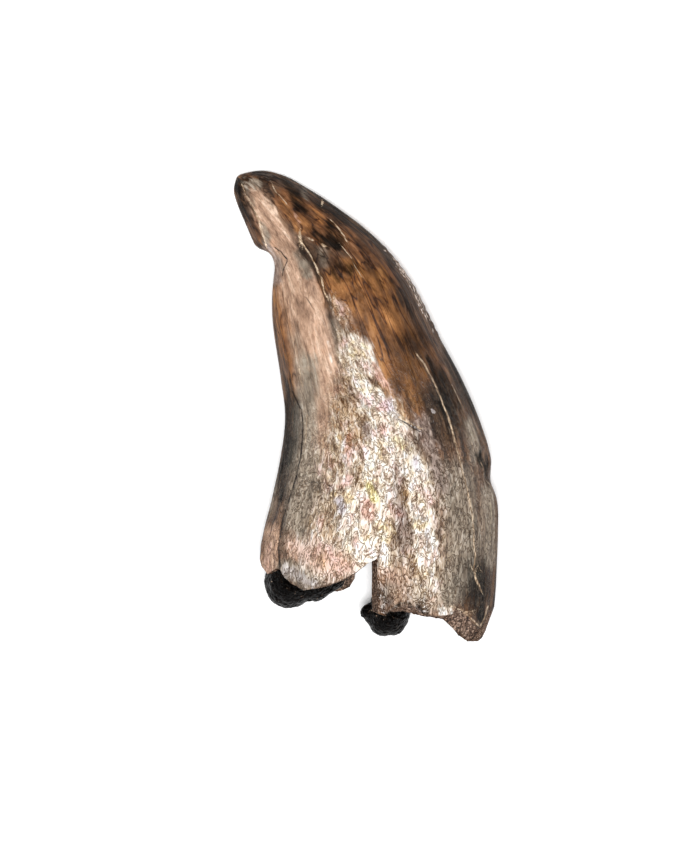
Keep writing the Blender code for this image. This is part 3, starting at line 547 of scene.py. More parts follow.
def layered_noise(points: Array, seed: int, layers: int = 3) -> Array:
    """Noise summed over layers, each twice as fine and half as strong as the one before.

    Args:
        points: Array that ends in three coordinates.
        seed: Picks one of many noises.
        layers: How many layers are summed.

    Returns:
        One value for each point, from about -1 to 1.
    """
    total = np.zeros(points.shape[:-1])
    for layer in range(layers):
        total += lattice_noise(points * 2.0**layer, seed + 17 * layer) * 0.5**layer
    return total / (2 - 0.5 ** (layers - 1))


def distance_to_path(x: Array, y: Array, path: Path) -> Array:
    """Signed distance in the plane from each point to a line of straight pieces: for each piece,
    the point's way to its nearest place on the piece; the shortest counts, and it is negative
    on the line's right-hand side.

    Args:
        x: X of each point.
        y: Y of each point.
        path: The line's corners.

    Returns:
        One signed distance for each point.
    """
    best = np.full(x.shape, 1e9)
    for (ax, ay), (bx, by) in zip(path[:-1], path[1:]):
        wide, tall = bx - ax, by - ay
        share = ((x - ax) * wide + (y - ay) * tall) / max(wide**2 + tall**2, 1e-12)
        share = np.clip(share, 0.0, 1.0)
        away = np.hypot(x - ax - share * wide, y - ay - share * tall)
        side = np.where((y - ay) * wide - (x - ax) * tall < 0, -1.0, 1.0)
        best = np.where(away < np.abs(best), away * side, best)
    return best


@dataclass(frozen=True)
class CrownShape:
    """The crown's plain shape. A station has its place along the crown from 0 to 1, the distal
    and the mesial margin's X and Y, its height above and below the margins, and its gap over the
    surface. It is the same shape as the solid's, so the two fit."""

    stations: tuple[tuple[Any, ...], ...] = (
        (0.0, (-5.99, -15.45), (7.93, -15.45), 4.25, 3.5, -0.15),
        (0.17, (-6.49, -9.21), (8.37, -10.14), 4.3, 3.5, -0.15),
        (0.27, (-5.74, -5.96), (8.4, -6.15), 4.15, 3.4, -0.1),
        (0.36, (-5.18, -3.28), (7.78, -2.78), 3.9, 3.2, 0.05),
        (0.455, (-4.93, -0.78), (6.35, 0.97), 3.55, 2.9, 0.25),
        (0.545, (-5.22, 1.66), (4.7, 4.13), 3.15, 2.6, 0.4),
        (0.65, (-5.67, 4.55), (2.86, 7.75), 2.7, 2.2, 0.5),
        (0.74, (-5.99, 7.08), (0.76, 10.33), 2.2, 1.8, 0.5),
        (0.82, (-6.55, 9.13), (-1.56, 12.22), 1.75, 1.4, 0.4),
        (0.885, (-7.42, 11.18), (-3.57, 13.56), 1.4, 1.1, 0.22),
        (0.94, (-8.04, 12.68), (-5.3, 14.49), 1.1, 0.9, 0.02),
        (0.97, (-8.3, 13.52), (-6.5, 14.79), 0.9, 0.75, -0.03),
        (1.0, (-8.4, 14.0), (-7.62, 14.78), 0.75, 0.65, 0.03),
    )
    tip_rounding: float = 0.045
    near_fullness: float = 2.05
    far_fullness: float = 2.45
    # Pairs of a place and how far inside the distal margin the carina runs there, and the least
    # and the most that this leaves of the half width.
    carina_inset: Path = (
        (0.0, 1.40), (0.27, 1.35), (0.45, 1.05), (0.60, 0.70), (0.75, 0.52), (1.0, 0.40),
    )
    carina_share: tuple[float, float] = (0.05, 0.98)
    wall: float = 1.30
    hollow_end: float = 0.34
    crest_in_wall: float = 0.45
    # The sections that locate() tries reach up to this place.
    trial_end: float = 0.45
    trials: int = 901

    def along(self, table: list[tuple[float, Any]], place: Array) -> Array:
        """A smooth curve through the table: between two knots a cubic, whose slope at each knot
        comes from the knots on both sides of it.

        Args:
            table: Pairs of a place and a value or tuple of values.
            place: Where the curve is read.

        Returns:
            The value at each place, with one more axis where the values are tuples.
        """
        knots = np.array([row[0] for row in table], float)
        values = np.array([row[1] for row in table], float).reshape(len(knots), -1)
        slopes = np.gradient(values, knots, axis=0)
        place = np.clip(np.asarray(place, float), knots[0], knots[-1])
        k = np.clip(np.searchsorted(knots, place, side="right") - 1, 0, len(knots) - 2)
        width = (knots[k + 1] - knots[k])[..., None]
        t = (place[..., None] - knots[k][..., None]) / width
        found = values[k] * (1 + 2 * t) * (1 - t) ** 2
        found = found + slopes[k] * width * t * (1 - t) ** 2
        found = found + values[k + 1] * t**2 * (3 - 2 * t)
        found = found - slopes[k + 1] * width * t**2 * (1 - t)
        return found[..., 0] if found.shape[-1] == 1 else found

    def column(self, index: int) -> list[tuple[float, Any]]:
        """One column of the stations as a table for along()."""
        return [(row[0], row[index]) for row in self.stations]

    def section(
        self, place: Array, inset: Union[float, Array] = 0.0,
        closing: Union[float, Array] = 1.0,
    ) -> dict[str, Array]:
        """The section at each place: its middle, its way towards the mesial margin, its half
        width, its near and far heights and its margins' height. Towards the tip it closes as a
        quarter of an ellipse does.

        Args:
            place: Places along the crown.
            inset: Thickness taken off all round.
            closing: A factor on the section's size.

        Returns:
            The named measures, each as many as place.
        """
        distal = self.along(self.column(1), place)
        mesial = self.along(self.column(2), place)
        near = self.along(self.column(3), place)
        far = self.along(self.column(4), place)
        gap = self.along(self.column(5), place)
        tip = np.clip((place - 1 + self.tip_rounding) / self.tip_rounding, 0.0, 1.0)
        shrink = np.sqrt(np.clip(1 - tip**2, 0.0, 1.0)) * closing
        half = (mesial - distal) / 2
        length = np.linalg.norm(half, axis=-1)
        return {
            "middle": (mesial + distal) / 2,
            "unit": half / length[..., None],
            "half": (length - inset) * shrink,
            "full": length,
            "near": (near - inset) * shrink,
            "far": (far - inset) * shrink,
            "height": far + gap,
        }

    def carina_angle(self, place: Array) -> Array:
        """The angle round the section at which the distal carina runs.

        Args:
            place: Places along the crown.

        Returns:
            One angle for each place, in radians.
        """
        full = self.section(place)["full"]
        share = 1 - self.along(list(self.carina_inset), place) / full
        share = np.clip(share, *self.carina_share)
        return math.pi - np.arccos(share ** (self.near_fullness / 2))

    def locate(
        self, points: Array, near_side: Array, inset: float = 0.0,
    ) -> tuple[Array, Array]:
        """The place and angle at which the crown carries points seen from above: each point's
        distance ahead of every trial section is worked out, the place is where that changes
        sign, and the angle comes from its share of the half width.

        Args:
            points: X and Y of each point.
            near_side: Whether each is on the near side.
            inset: Depth under the surface.

        Returns:
            The places and the angles.
        """
        trial = np.linspace(0.0, self.trial_end, self.trials)
        cut = self.section(trial, inset)
        away = points[:, None, :] - cut["middle"][None]
        ahead = away[..., 1] * cut["unit"][:, 0] - away[..., 0] * cut["unit"][:, 1]
        k = np.clip(np.argmax(ahead < 0, axis=1), 1, len(trial) - 1)
        rows = np.arange(len(points))
        before, after = ahead[rows, k - 1], ahead[rows, k]
        share = np.clip(before / np.where(before == after, 1.0, before - after), 0.0, 1.0)
        place = trial[k - 1] + share * (trial[k] - trial[k - 1])
        cut = self.section(place, inset)
        across = np.sum((points - cut["middle"]) * cut["unit"], axis=-1) / cut["half"]
        across = np.clip(across, -1.0, 1.0)
        power = np.where(near_side, self.near_fullness, self.far_fullness)
        angle = np.arccos(np.sign(across) * np.abs(across) ** (power / 2))
        return place, np.where(near_side, angle, 2 * math.pi - angle)

    def surface(
        self, place: Array, angle: Array, inset: Array, closing: Array, rise: Array,
    ) -> Array:
        """Points of the surface: in each section a superellipse, |x/a|^n + |z/b|^n = 1, read at
        an angle and raised along its own normal.

        Args:
            place: Place along the crown of each grid point.
            angle: Angle round the section of each.
            inset: Depth under the surface of each.
            closing: Factor on the section's size at each.
            rise: How far each stands out.

        Returns:
            X, Y and Z of each grid point.
        """
        cut = self.section(place, inset, closing)
        c, s = np.cos(angle), np.sin(angle)
        power = np.where(s >= 0, self.near_fullness, self.far_fullness)
        x = np.sign(c) * np.abs(c) ** (2 / power)
        z = np.sign(s) * np.abs(s) ** (2 / power)
        tall = np.where(s >= 0, cut["near"], cut["far"])
        slope_x = np.sign(x) * np.abs(x) ** (power - 1) / np.maximum(cut["half"], 1e-6)
        slope_z = np.sign(z) * np.abs(z) ** (power - 1) / np.maximum(tall, 1e-6)
        size = np.maximum(np.hypot(slope_x, slope_z), 1e-9)
        out_x = x * cut["half"] + rise * slope_x / size
        out_z = z * tall + rise * slope_z / size
        flat = cut["middle"] + out_x[..., None] * cut["unit"]
        return np.concatenate([flat, (cut["height"] + out_z)[..., None]], axis=-1)


@dataclass(frozen=True)
class BrokenRim:
    """The break as seen from above, once round. Each point is the enamel edge's X and Y, how
    much lower the dentine's crest and the hollow's edge stand, and the hollow's edge's shift."""

    near: tuple[tuple[float, ...], ...] = (
        (-5.16, -10.35, 0.05, -0.2, 0.0),
        (-4.91, -10.77, 0.05, -0.3, 0.0),
        (-4.54, -11.07, 0.05, -0.3, 0.0),
        (-3.74, -11.49, 0.0, -0.25, 0.0),
        (-3.2, -11.38, 0.0, -0.25, 0.0),
        (-2.59, -11.28, 0.0, -0.25, 0.0),
        (-1.98, -11.05, 0.0, -0.25, 0.0),
        (-1.29, -10.77, 0.0, -0.3, 0.0),
        (-0.69, -10.45, 0.0, -0.3, 0.0),
        (-0.17, -10.07, 0.0, -0.3, 0.0),
        (0.23, -9.75, 0.0, -0.3, -0.1),
        (0.8, -9.5, 0.0, -0.3, -0.35),
        (0.8, -10.3, 0.0, 0.0, -0.35),
        (0.8, -11.39, 0.0, 0.0, -0.35),
        (0.8, -12.36, 0.0, 0.0, -0.35),
        (0.8, -12.8, 0.0, 0.0, -0.3),
        (1.25, -12.96, 0.0, 0.05, 0.0),
        (1.62, -12.62, 0.15, 0.2, 0.0),
        (2.04, -12.42, 0.3, 0.4, 0.0),
        (2.71, -12.29, 0.42, 0.5, 0.0),
        (3.08, -12.43, 0.38, 0.42, 0.0),
        (3.44, -12.83, 0.15, 0.1, 0.0),
        (4.35, -13.03, 0.1, 0.05, 0.0),
        (5.1, -12.94, 0.35, 0.1, 0.1),
        (5.53, -12.87, 0.85, 0.35, 0.3),
        (6.0, -12.9, 1.4, 0.5, 0.4),
        (6.42, -13.0, 1.6, 0.5, 0.4),
        (6.66, -13.52, 1.18, 0.35, 0.3),
        (7.0, -13.94, 0.82, 0.2, 0.35),
        (7.35, -13.58, 1.2, 0.4, 0.6),
        (7.66, -12.9, 1.65, 0.6, 0.8),
    )
    far: tuple[tuple[float, ...], ...] = (
        (8.08, -12.65, 1.8, 0.6, 0.85),
        (7.93, -13.45, 1.05, 0.3, 0.8),
        (7.23, -14.15, 0.6, 0.1, 0.45),
        (6.33, -13.75, 0.3, -0.1, 0.0),
        (5.43, -13.05, 0.1, -0.2, 0.0),
        (4.53, -12.6, 0.0, -0.2, 0.0),
        (3.63, -12.55, 0.0, -0.2, 0.0),
        (2.88, -12.15, 0.0, -0.2, 0.0),
        (2.03, -12.4, 0.0, -0.2, 0.0),
        (1.33, -12.5, 0.0, -0.2, 0.0),
        (0.88, -12.05, 0.0, 0.0, -0.1),
        (0.75, -10.85, 0.0, 0.0, -0.1),
        (0.58, -9.3, 0.0, -0.2, 0.0),
        (-0.17, -9.15, 0.0, -0.2, 0.0),
        (-0.77, -9.85, 0.0, 0.0, 0.0),
        (-0.89, -11.15, 0.0, 0.0, 0.0),
        (-1.27, -11.75, 0.0, -0.1, 0.0),
        (-1.97, -12.0, 0.0, -0.1, 0.0),
        (-2.87, -11.6, 0.0, -0.2, 0.0),
        (-3.97, -11.65, 0.0, -0.2, 0.0),
        (-4.92, -11.15, 0.0, -0.2, 0.0),
        (-5.82, -10.6, 0.0, -0.2, 0.0),
    )
    flank: tuple[tuple[float, ...], ...] = (
        (-6.57, -9.58, 0.05, -0.2, 0.0),
        (-6.37, -10.15, 0.05, -0.2, 0.0),
        (-5.99, -10.6, 0.05, -0.2, 0.0),
        (-5.73, -10.39, 0.05, -0.2, 0.0),
        (-5.41, -10.18, 0.05, -0.2, 0.0),
    )
    near_step: float = 0.095
    far_step: float = 0.22
    # The height of the crumbling and the length of one crumb; the crest crumbles more, and reads
    # its noise further along.
    crumble: float = 0.05
    crumble_grain: float = 0.45
    crest_crumble: float = 0.08
    crest_shift: float = 31.0

    def points(self) -> tuple[Array, int, int]:
        """The rim's points, close together and slightly crumbled: straight pieces between the
        corners, cut at even steps, with noise along the rim added to Y.

        Returns:
            The points, and the columns of the mesial and of the distal margin.
        """
        rows = np.array(self.near + self.far + self.flank, float)
        ends = np.roll(rows, -1, axis=0)
        length = np.hypot(*(ends - rows)[:, :2].T)
        step = np.full(len(rows), self.near_step)
        step[len(self.near) - 1 : len(self.near) + len(self.far)] = self.far_step
        parts = np.maximum(1, np.round(length / step)).astype(int)
        starts = np.concatenate([[0], np.cumsum(parts)])
        owner = np.repeat(np.arange(len(rows)), parts)
        share = (np.arange(starts[-1]) - starts[owner]) / parts[owner]
        made = rows[owner] + (ends - rows)[owner] * share[:, None]
        run = np.concatenate([[0.0], np.cumsum(length)])[owner] + share * length[owner]
        # The noise is read off its lattice's planes, where it would be flat.
        zero = np.zeros_like(run)
        spot = np.stack([run / self.crumble_grain, zero, zero + 0.37], axis=-1)
        made[:, 1] += layered_noise(spot, Seed.RIM) * self.crumble
        crest = layered_noise(spot + self.crest_shift, Seed.RIM_CREST) * self.crest_crumble
        made[:, 2:4] += crest[:, None]
        return made, int(starts[len(self.near)]), int(starts[len(self.near) + len(self.far)])


@dataclass(frozen=True)
class Relief:
    """What stands out from the crown or is worn into it, in millimetres. Where a form has a
    place, that is its place along the crown from 0 to 1."""

    carina_rise: float = 0.16
    carina_width: float = 0.26
    # The share of the carina's height that is left near the base, and where it grows to all of it.
    carina_worn: float = 0.15
    carina_places: tuple[float, float] = (0.25, 0.60)
    flute_depth: float = 0.12
    flute_width: float = 0.90
    flute_set_back: float = 1.20
    # The cosine of the angle it runs at, its width in the same, its height and the places between
    # which it fades out.
    trough: tuple[float, float, float, float, float] = (0.22, 0.11, 0.30, 0.10, 0.34)
    swelling: tuple[float, float, float, float, float] = (0.46, 0.12, 0.12, 0.08, 0.40)
    # The sine of the angle at which the trough and the swelling are there in full.
    near_sine: float = 0.4
    # Its place, half its step's length, its depth and how far down it runs out.
    ledge: tuple[float, float, float, float] = (0.826, 0.025, 0.98, 0.078)
    ledge_angle: tuple[float, float] = (math.radians(184), math.radians(54))
    # Its place, its half length and its depth.
    margin_chip: tuple[float, float, float] = (0.305, 0.022, 0.30)
    margin_chip_angle: tuple[float, float] = (math.radians(8), math.radians(22))
    # The broad relief ends this far below the tip's end, and the fine relief this far.
    broad_end: float = 0.04
    fine_end: float = 0.02
    serration_pitch: float = 0.55
    serration_height: float = 0.085
    serration_places: tuple[float, float] = (0.535, 0.735)
    serration_step: float = 0.02
    serration_angle: tuple[float, float] = (0.10, 0.20)
    # How much of a bump the wear left: the middle, the noise's share, the least and the most.
    serration_wear: tuple[float, float, float, float] = (0.55, 0.9, 0.1, 1.0)
    serration_wear_grain: float = 0.9
    flutes_height: float = 0.022
    flutes_grain: Point = (1.5, 1.5, 0.16)
    wrinkle_height: float = 0.090
    # The share of the wrinkles that shows outside the shiny enamel.
    wrinkle_least: float = 0.15
    wrinkle_grain: Point = (2.9, 2.9, 0.50)
    fine_wrinkle_grain: Point = (4.8, 4.8, 0.95)
    wrinkle_bend: float = 0.34
    wrinkle_bend_grain: Point = (1.1, 1.1, 0.6)
    wrinkle_contrast: float = 1.15
    groove_depth: float = 0.070
    vein_height: float = 0.022
    # In half widths of the crack.
    vein_softness: float = 1.4
    core_depth: float = 0.16
    # Each dent's X, Y, half sizes in X and Y, and depth.
    dents: tuple[tuple[float, float, float, float, float], ...] = (
        (-2.1, -6.0, 0.5, 0.8, 0.16),
        (7.3, -3.5, 0.3, 0.4, 0.20),
        (7.7, -4.5, 0.3, 0.5, 0.22),
        (2.3, -1.2, 0.2, 0.2, 0.05),
        (2.8, -1.5, 0.2, 0.2, 0.05),
        (-6.0, -8.5, 0.3, 0.4, 0.10),
        (-6.3, -9.5, 0.2, 0.4, 0.10),
        (-5.8, -10.1, 0.3, 0.4, 0.12),
        (-2.6, 12.5, 0.2, 0.2, 0.06),
        (-5.5, 8.8, 0.3, 0.5, 0.10),
        (2.0, -12.7, 0.6, 0.2, 0.10),
        (2.4, -7.4, 0.8, 1.0, 0.10),
    )

    def broad(self, shape: CrownShape, place: Array, angle: Array) -> Array:
        """The broad relief that the solid has too: the carina's bump and the flute beside it,
        the trough and the swelling above the base, the flake's ledge and the margin's chip, each
        a product of bells and S-curves in the place and the angle.

        Args:
            shape: The plain crown.
            place: Places along the crown.
            angle: Angles round it.

        Returns:
            How far each point stands out.
        """
        size = shape.section(place)["half"]
        from_carina = (angle - shape.carina_angle(place)) * size
        sharp = smooth_step(*self.carina_places, place)
        sharp = self.carina_worn + (1 - self.carina_worn) * sharp
        rise = self.carina_rise * sharp * bell(from_carina, self.carina_width)
        rise -= self.flute_depth * bell(from_carina + self.flute_set_back, self.flute_width)
        near_side = smooth_step(0.0, self.near_sine, np.sin(angle))
        for (middle, width, height, low, high), sign in ((self.trough, -1), (self.swelling, 1)):
            line = bell(np.cos(angle) - middle, width) * (1 - smooth_step(low, high, place))
            rise += sign * height * line * near_side
        at, step, depth, fade = self.ledge
        below = at - place
        flake = smooth_step(-step, step, below) * bell(np.maximum(below, 0), fade)
        rise -= depth * flake * bell(angle - self.ledge_angle[0], self.ledge_angle[1])
        turned = np.mod(angle + math.pi, 2 * math.pi) - math.pi
        at, length, depth = self.margin_chip
        chip = bell(place - at, length)
        chip *= bell(turned - self.margin_chip_angle[0], self.margin_chip_angle[1])
        return (rise - depth * chip) * smooth_step(0.0, self.broad_end, 1 - place)

    def crinkle(self, grain: Array) -> Array:
        """The crinkle of the worn enamel, like crumpled foil: two noises drawn out along the
        grain, in a space that a third noise bends.

        Args:
            grain: The grain coordinates of each point.

        Returns:
            A height from 0 to 1 for each.
        """
        where = grain * self.wrinkle_bend_grain
        bend = [layered_noise(where, Seed.WRINKLE_BEND + k, 2) for k in range(3)]
        bent = grain + self.wrinkle_bend * np.stack(bend, axis=-1)
        large = lattice_noise(bent * self.wrinkle_grain, Seed.WRINKLES)
        small = lattice_noise(bent * self.fine_wrinkle_grain, Seed.FINE_WRINKLES)
        return np.clip(0.5 + self.wrinkle_contrast * (large + small) / 2, 0.0, 1.0)

    def fine(
        self, flat: Array, grain: Array, place: Array, angle: Array, masks: dict[str, Array],
    ) -> Array:
        """The fine relief: long shallow flutes and wrinkles from stretched noise, worn serration
        bumps as a raised cosine along the mesial margin, grooves where cracks are open, low
        seams where they are filled, and dents as bells over their ellipses.

        Args:
            flat: X and Y of each point.
            grain: The grain coordinates of each.
            place: Places along the crown.
            angle: Angles round it.
            masks: The stains' and veins' masks.

        Returns:
            How far each point stands out from the broad form.
        """
        rise = self.flutes_height * layered_noise(grain * self.flutes_grain, Seed.FLUTES)
        shown = self.wrinkle_least + (1 - self.wrinkle_least) * masks[Stain.FOIL_AND_GLINTS]
        rise += self.wrinkle_height * shown * (masks["crinkle"] - 0.5)
        turned = np.mod(angle + math.pi, 2 * math.pi) - math.pi
        (low, high), step = self.serration_places, self.serration_step
        band = smooth_step(low, low + step, place) * (1 - smooth_step(high - step, high, place))
        wave = 0.5 + 0.5 * np.cos(2 * math.pi * grain[..., 2] / self.serration_pitch)
        middle, swing, least, most = self.serration_wear
        uneven = layered_noise(grain * self.serration_wear_grain, Seed.SERRATIONS, 2)
        worn = np.clip(middle + swing * uneven, least, most)
        edge, width = self.serration_angle
        rise += self.serration_height * band * wave * worn * bell(turned - edge, width)
        for vein, height in ((Vein.DARK_AND_SHADOW, -self.groove_depth), (Vein.PALE, self.vein_height)):
            line = bell(masks[vein + "_side"], self.vein_softness)
            rise += height * masks[vein] * line
        rise -= self.core_depth * masks[Stain.CORE]
        near_side = np.sin(angle) > 0
        for x, y, wide, tall, depth in self.dents:
            round_it = ((flat[..., 0] - x) / wide) ** 2 + ((flat[..., 1] - y) / tall) ** 2
            rise -= depth * np.exp(-round_it) * near_side
        return rise * smooth_step(0.0, self.fine_end, 1 - place)


@dataclass(frozen=True)
class StainMap:
    """How the stains and the cracks are laid over the crown, in millimetres. On the far side each
    point reads the near point across the middle, shifted a little; past the last place, across
    the middle there."""

    far_shift: tuple[float, float] = (0.5, -1.4)
    last_middle: float = 0.999
    # How far noise moves the stains in X and Y, and the noise's scales in the grain.
    shake: tuple[float, float] = (0.22, 0.40)
    shake_grain: Point = (1.7, 1.7, 0.8)
    streak: float = 0.75
    streak_grain: Point = (2.4, 2.4, 0.12)
    # The crumbs keep to this angle, and fall off over this width.
    crumb_angle: tuple[float, float] = (0.20, 0.24)
    wander: float = 0.045
    wander_grain: float = 2.2
    # A crack's strength is whole up to the first distance from its middle and gone at the second.
    crack_reach: tuple[float, float] = (0.12, 0.32)
    no_crack: float = 9.0

    def near_spot(
        self, shape: CrownShape, spot: Array, place: Array, angle: Array,
    ) -> Array:
        """Where on the near side each point reads its stains.

        Args:
            shape: The plain crown.
            spot: X, Y and Z of each grid point.
            place: Its place along the crown.
            angle: Its angle round the section.

        Returns:
            X and Y for each point.
        """
        middle = shape.section(np.clip(place, 0.0, self.last_middle))["middle"]
        mirrored = 2 * middle - spot[..., :2] + self.far_shift
        return np.where(np.sin(angle)[..., None] >= 0, spot[..., :2], mirrored)

    def stains(self, flat: Array, grain: Array, angle: Array) -> dict[str, Array]:
        """The stains as values from 0 to 1: each dab fades across its soft edge, after noise has
        moved the point a little, further along the fibres for the streaked ones.

        Args:
            flat: X and Y on the near side of each point.
            grain: Its grain coordinates.
            angle: Its angle round the section.

        Returns:
            One array for each stain.
        """
        shake = grain * self.shake_grain
        x = flat[..., 0] + self.shake[0] * layered_noise(shake, Seed.STAIN_ACROSS, 4)
        y = flat[..., 1] + self.shake[1] * layered_noise(shake, Seed.STAIN_ALONG, 4)
        streaks = self.streak * layered_noise(grain * self.streak_grain, Seed.STREAKS, 2)
        found = {}
        for stain, dabs in STAINS.items():
            gone = np.ones_like(x)
            drawn = y + streaks * (stain in STREAKED)
            for dab in dabs:
                away = np.abs(distance_to_path(x, drawn, dab.path))
                inside = 1 - smooth_step(*dab.fade(), away)
                gone *= 1 - np.clip(dab.strength * inside, 0.0, 1.0)
            found[stain] = 1 - gone
        turned = np.mod(angle + math.pi, 2 * math.pi) - math.pi
        edge, width = self.crumb_angle
        found[Stain.CRUMB] *= bell(turned - edge, width)
        return found

    def cracks(self, flat: Array, grain: Array) -> dict[str, Array]:
        """The cracks of each kind, after noise has moved them a little: the strength of the one
        that is nearest in its own half widths, and the signed distance from it in the same.

        Args:
            flat: X and Y on the near side of each point.
            grain: Its grain coordinates.

        Returns:
            Two arrays for each kind.
        """
        found = {}
        wander = self.wander * layered_noise(grain * self.wander_grain, Seed.CRACKS, 2)
        for vein, cracks in CRACKS.items():
            shown = np.zeros(flat.shape[:-1])
            side = np.full(flat.shape[:-1], self.no_crack)
            for crack in cracks:
                away = distance_to_path(flat[..., 0] + wander, flat[..., 1] + wander, crack.path)
                band = crack.strength * (1 - smooth_step(*self.crack_reach, np.abs(away)))
                closer = np.abs(away / crack.reach) < np.abs(side)
                side = np.where(closer, away / crack.reach, side)
                shown = np.where(closer, band, shown)
            found[vein] = shown
            found[vein + "_side"] = side
        return found


class MeshMaker:
    """Turns numpy grids into Blender objects that ride on the tooth's body."""

    @staticmethod
    def closed_grid(
        name: str, grid: Array, first: Array, last: Array,
        fields: Optional[dict[str, Array]] = None,
    ) -> bpy.types.Object:
        """A closed mesh from a grid whose columns meet round the object and whose first and last
        rows are each ended by one point.

        Args:
            name: The object's name.
            grid: Rows by columns of X, Y and Z in millimetres.
            first: The point before the first row.
            last: The point after the last row.
            fields: Named values on the grid, which become attributes of the points.

        Returns:
            The object, smooth shaded and linked to the scene.
        """
        rows, columns = grid.shape[:2]
        points = np.concatenate([[first], grid.reshape(-1, 3), [last]]) * MM
        index = 1 + np.arange(rows * columns).reshape(rows, columns)
        after = np.roll(index, -1, axis=1)
        quads = np.stack([index[:-1], index[1:], after[1:], after[:-1]], axis=-1).reshape(-1, 4)
        top = np.stack([np.zeros(columns, int), index[0], after[0]], axis=-1)
        end = np.full(columns, len(points) - 1)
        low = np.stack([end, after[-1], index[-1]], axis=-1)
        mesh = bpy.data.meshes.new(name)
        mesh.from_pydata(points, [], [*top.tolist(), *quads.tolist(), *low.tolist()])
        for key, values in (fields or {}).items():
            wide = values.ndim == 3
            spread = values.reshape(rows * columns, -1)
            ends = spread[:columns].mean(axis=0), spread[-columns:].mean(axis=0)
            data = np.concatenate([[ends[0]], spread, [ends[1]]]).astype(np.float32)
            made = mesh.attributes.new(key, "FLOAT_VECTOR" if wide else "FLOAT", "POINT")
            made.data.foreach_set("vector" if wide else "value", data.ravel())
        mesh.shade_smooth()
        mesh.update()
        return MeshMaker.place(name, mesh)

    @staticmethod
    def place(name: str, mesh: bpy.types.Mesh) -> bpy.types.Object:
        """Links a mesh to the scene as an object.

        Args:
            name: The object's name.
            mesh: Its mesh.

        Returns:
            The object, at the origin.
        """
        made = bpy.data.objects.new(name, mesh)
        bpy.context.scene.collection.objects.link(made)
        return made


def linear(colour: str) -> tuple[float, float, float, float]:
    """Turns an sRGB hex colour to linear: c / 12.92 below 0.04045 and otherwise
    ((c + 0.055) / 1.055) to the power 2.4.

    Args:
        colour: Six hex digits after a hash.

    Returns:
        Red, green, blue and a full alpha.
    """
    parts = [int(colour[k : k + 2], 16) / 255 for k in (1, 3, 5)]
    made = [c / 12.92 if c <= 0.04045 else ((c + 0.055) / 1.055) ** 2.4 for c in parts]
    return made[0], made[1], made[2], 1.0


def add_node(
    tree: Tree, kind: str, settings: Optional[dict[str, Any]] = None,
    inputs: Optional[dict[Union[str, int], Any]] = None, stops: Ramp = (),
) -> bpy.types.Node:
    """Adds a node with its settings and links.

    Args:
        tree: The node tree.
        kind: The node's type, without the word that all shader nodes start with.
        settings: Values set on the node itself.
        inputs: Values for its sockets, by name or number; an output socket is linked.
        stops: Places from 0 to 1 and their colours, where the node is a colour ramp.

    Returns:
        The node.
    """
    made = tree.nodes.new("ShaderNode" + kind)
    for key, value in (settings or {}).items():
        setattr(made, key, value)
    for key, value in (inputs or {}).items():
        if isinstance(value, Socket):
            tree.links.new(value, made.inputs[key])
        else:
            made.inputs[key].default_value = value
    if stops:
        bar = made.color_ramp.elements
        bar.remove(bar[1])
        for k, (place, colour) in enumerate(stops):
            stop = bar[0] if k == 0 else bar.new(place)
            stop.position = place
            stop.color = linear(colour)
    return made


@dataclass(frozen=True)
class Layer:
    """One layer of colour: the mask that places it, the texture that shades it along its ramp of
    places and colours, the mask values between which it sets in, how far which texture frays its
    edge, how much of it covers what lies below, and how it is blended with that."""

    mask: Stain
    texture: str
    ramp: Ramp
    cut: tuple[float, float] = (0.22, 0.82)
    fray: float = 0.9
    frayed_by: str = "fibre"
    cover: float = 1.0
    blend: str = "MIX"


@dataclass(frozen=True)
class Veil:
    """A thin pattern drawn over all the layers: its texture, the texture's ramp, the socket that
    says where the enamel is worn, pale or painted with a highlight, how much shows where that is 0
    and where it is 1, and how it is blended with the colour below."""

    texture: str
    ramp: Ramp
    where: str
    plain: float
    changed: float
    blend: str = "MULTIPLY"


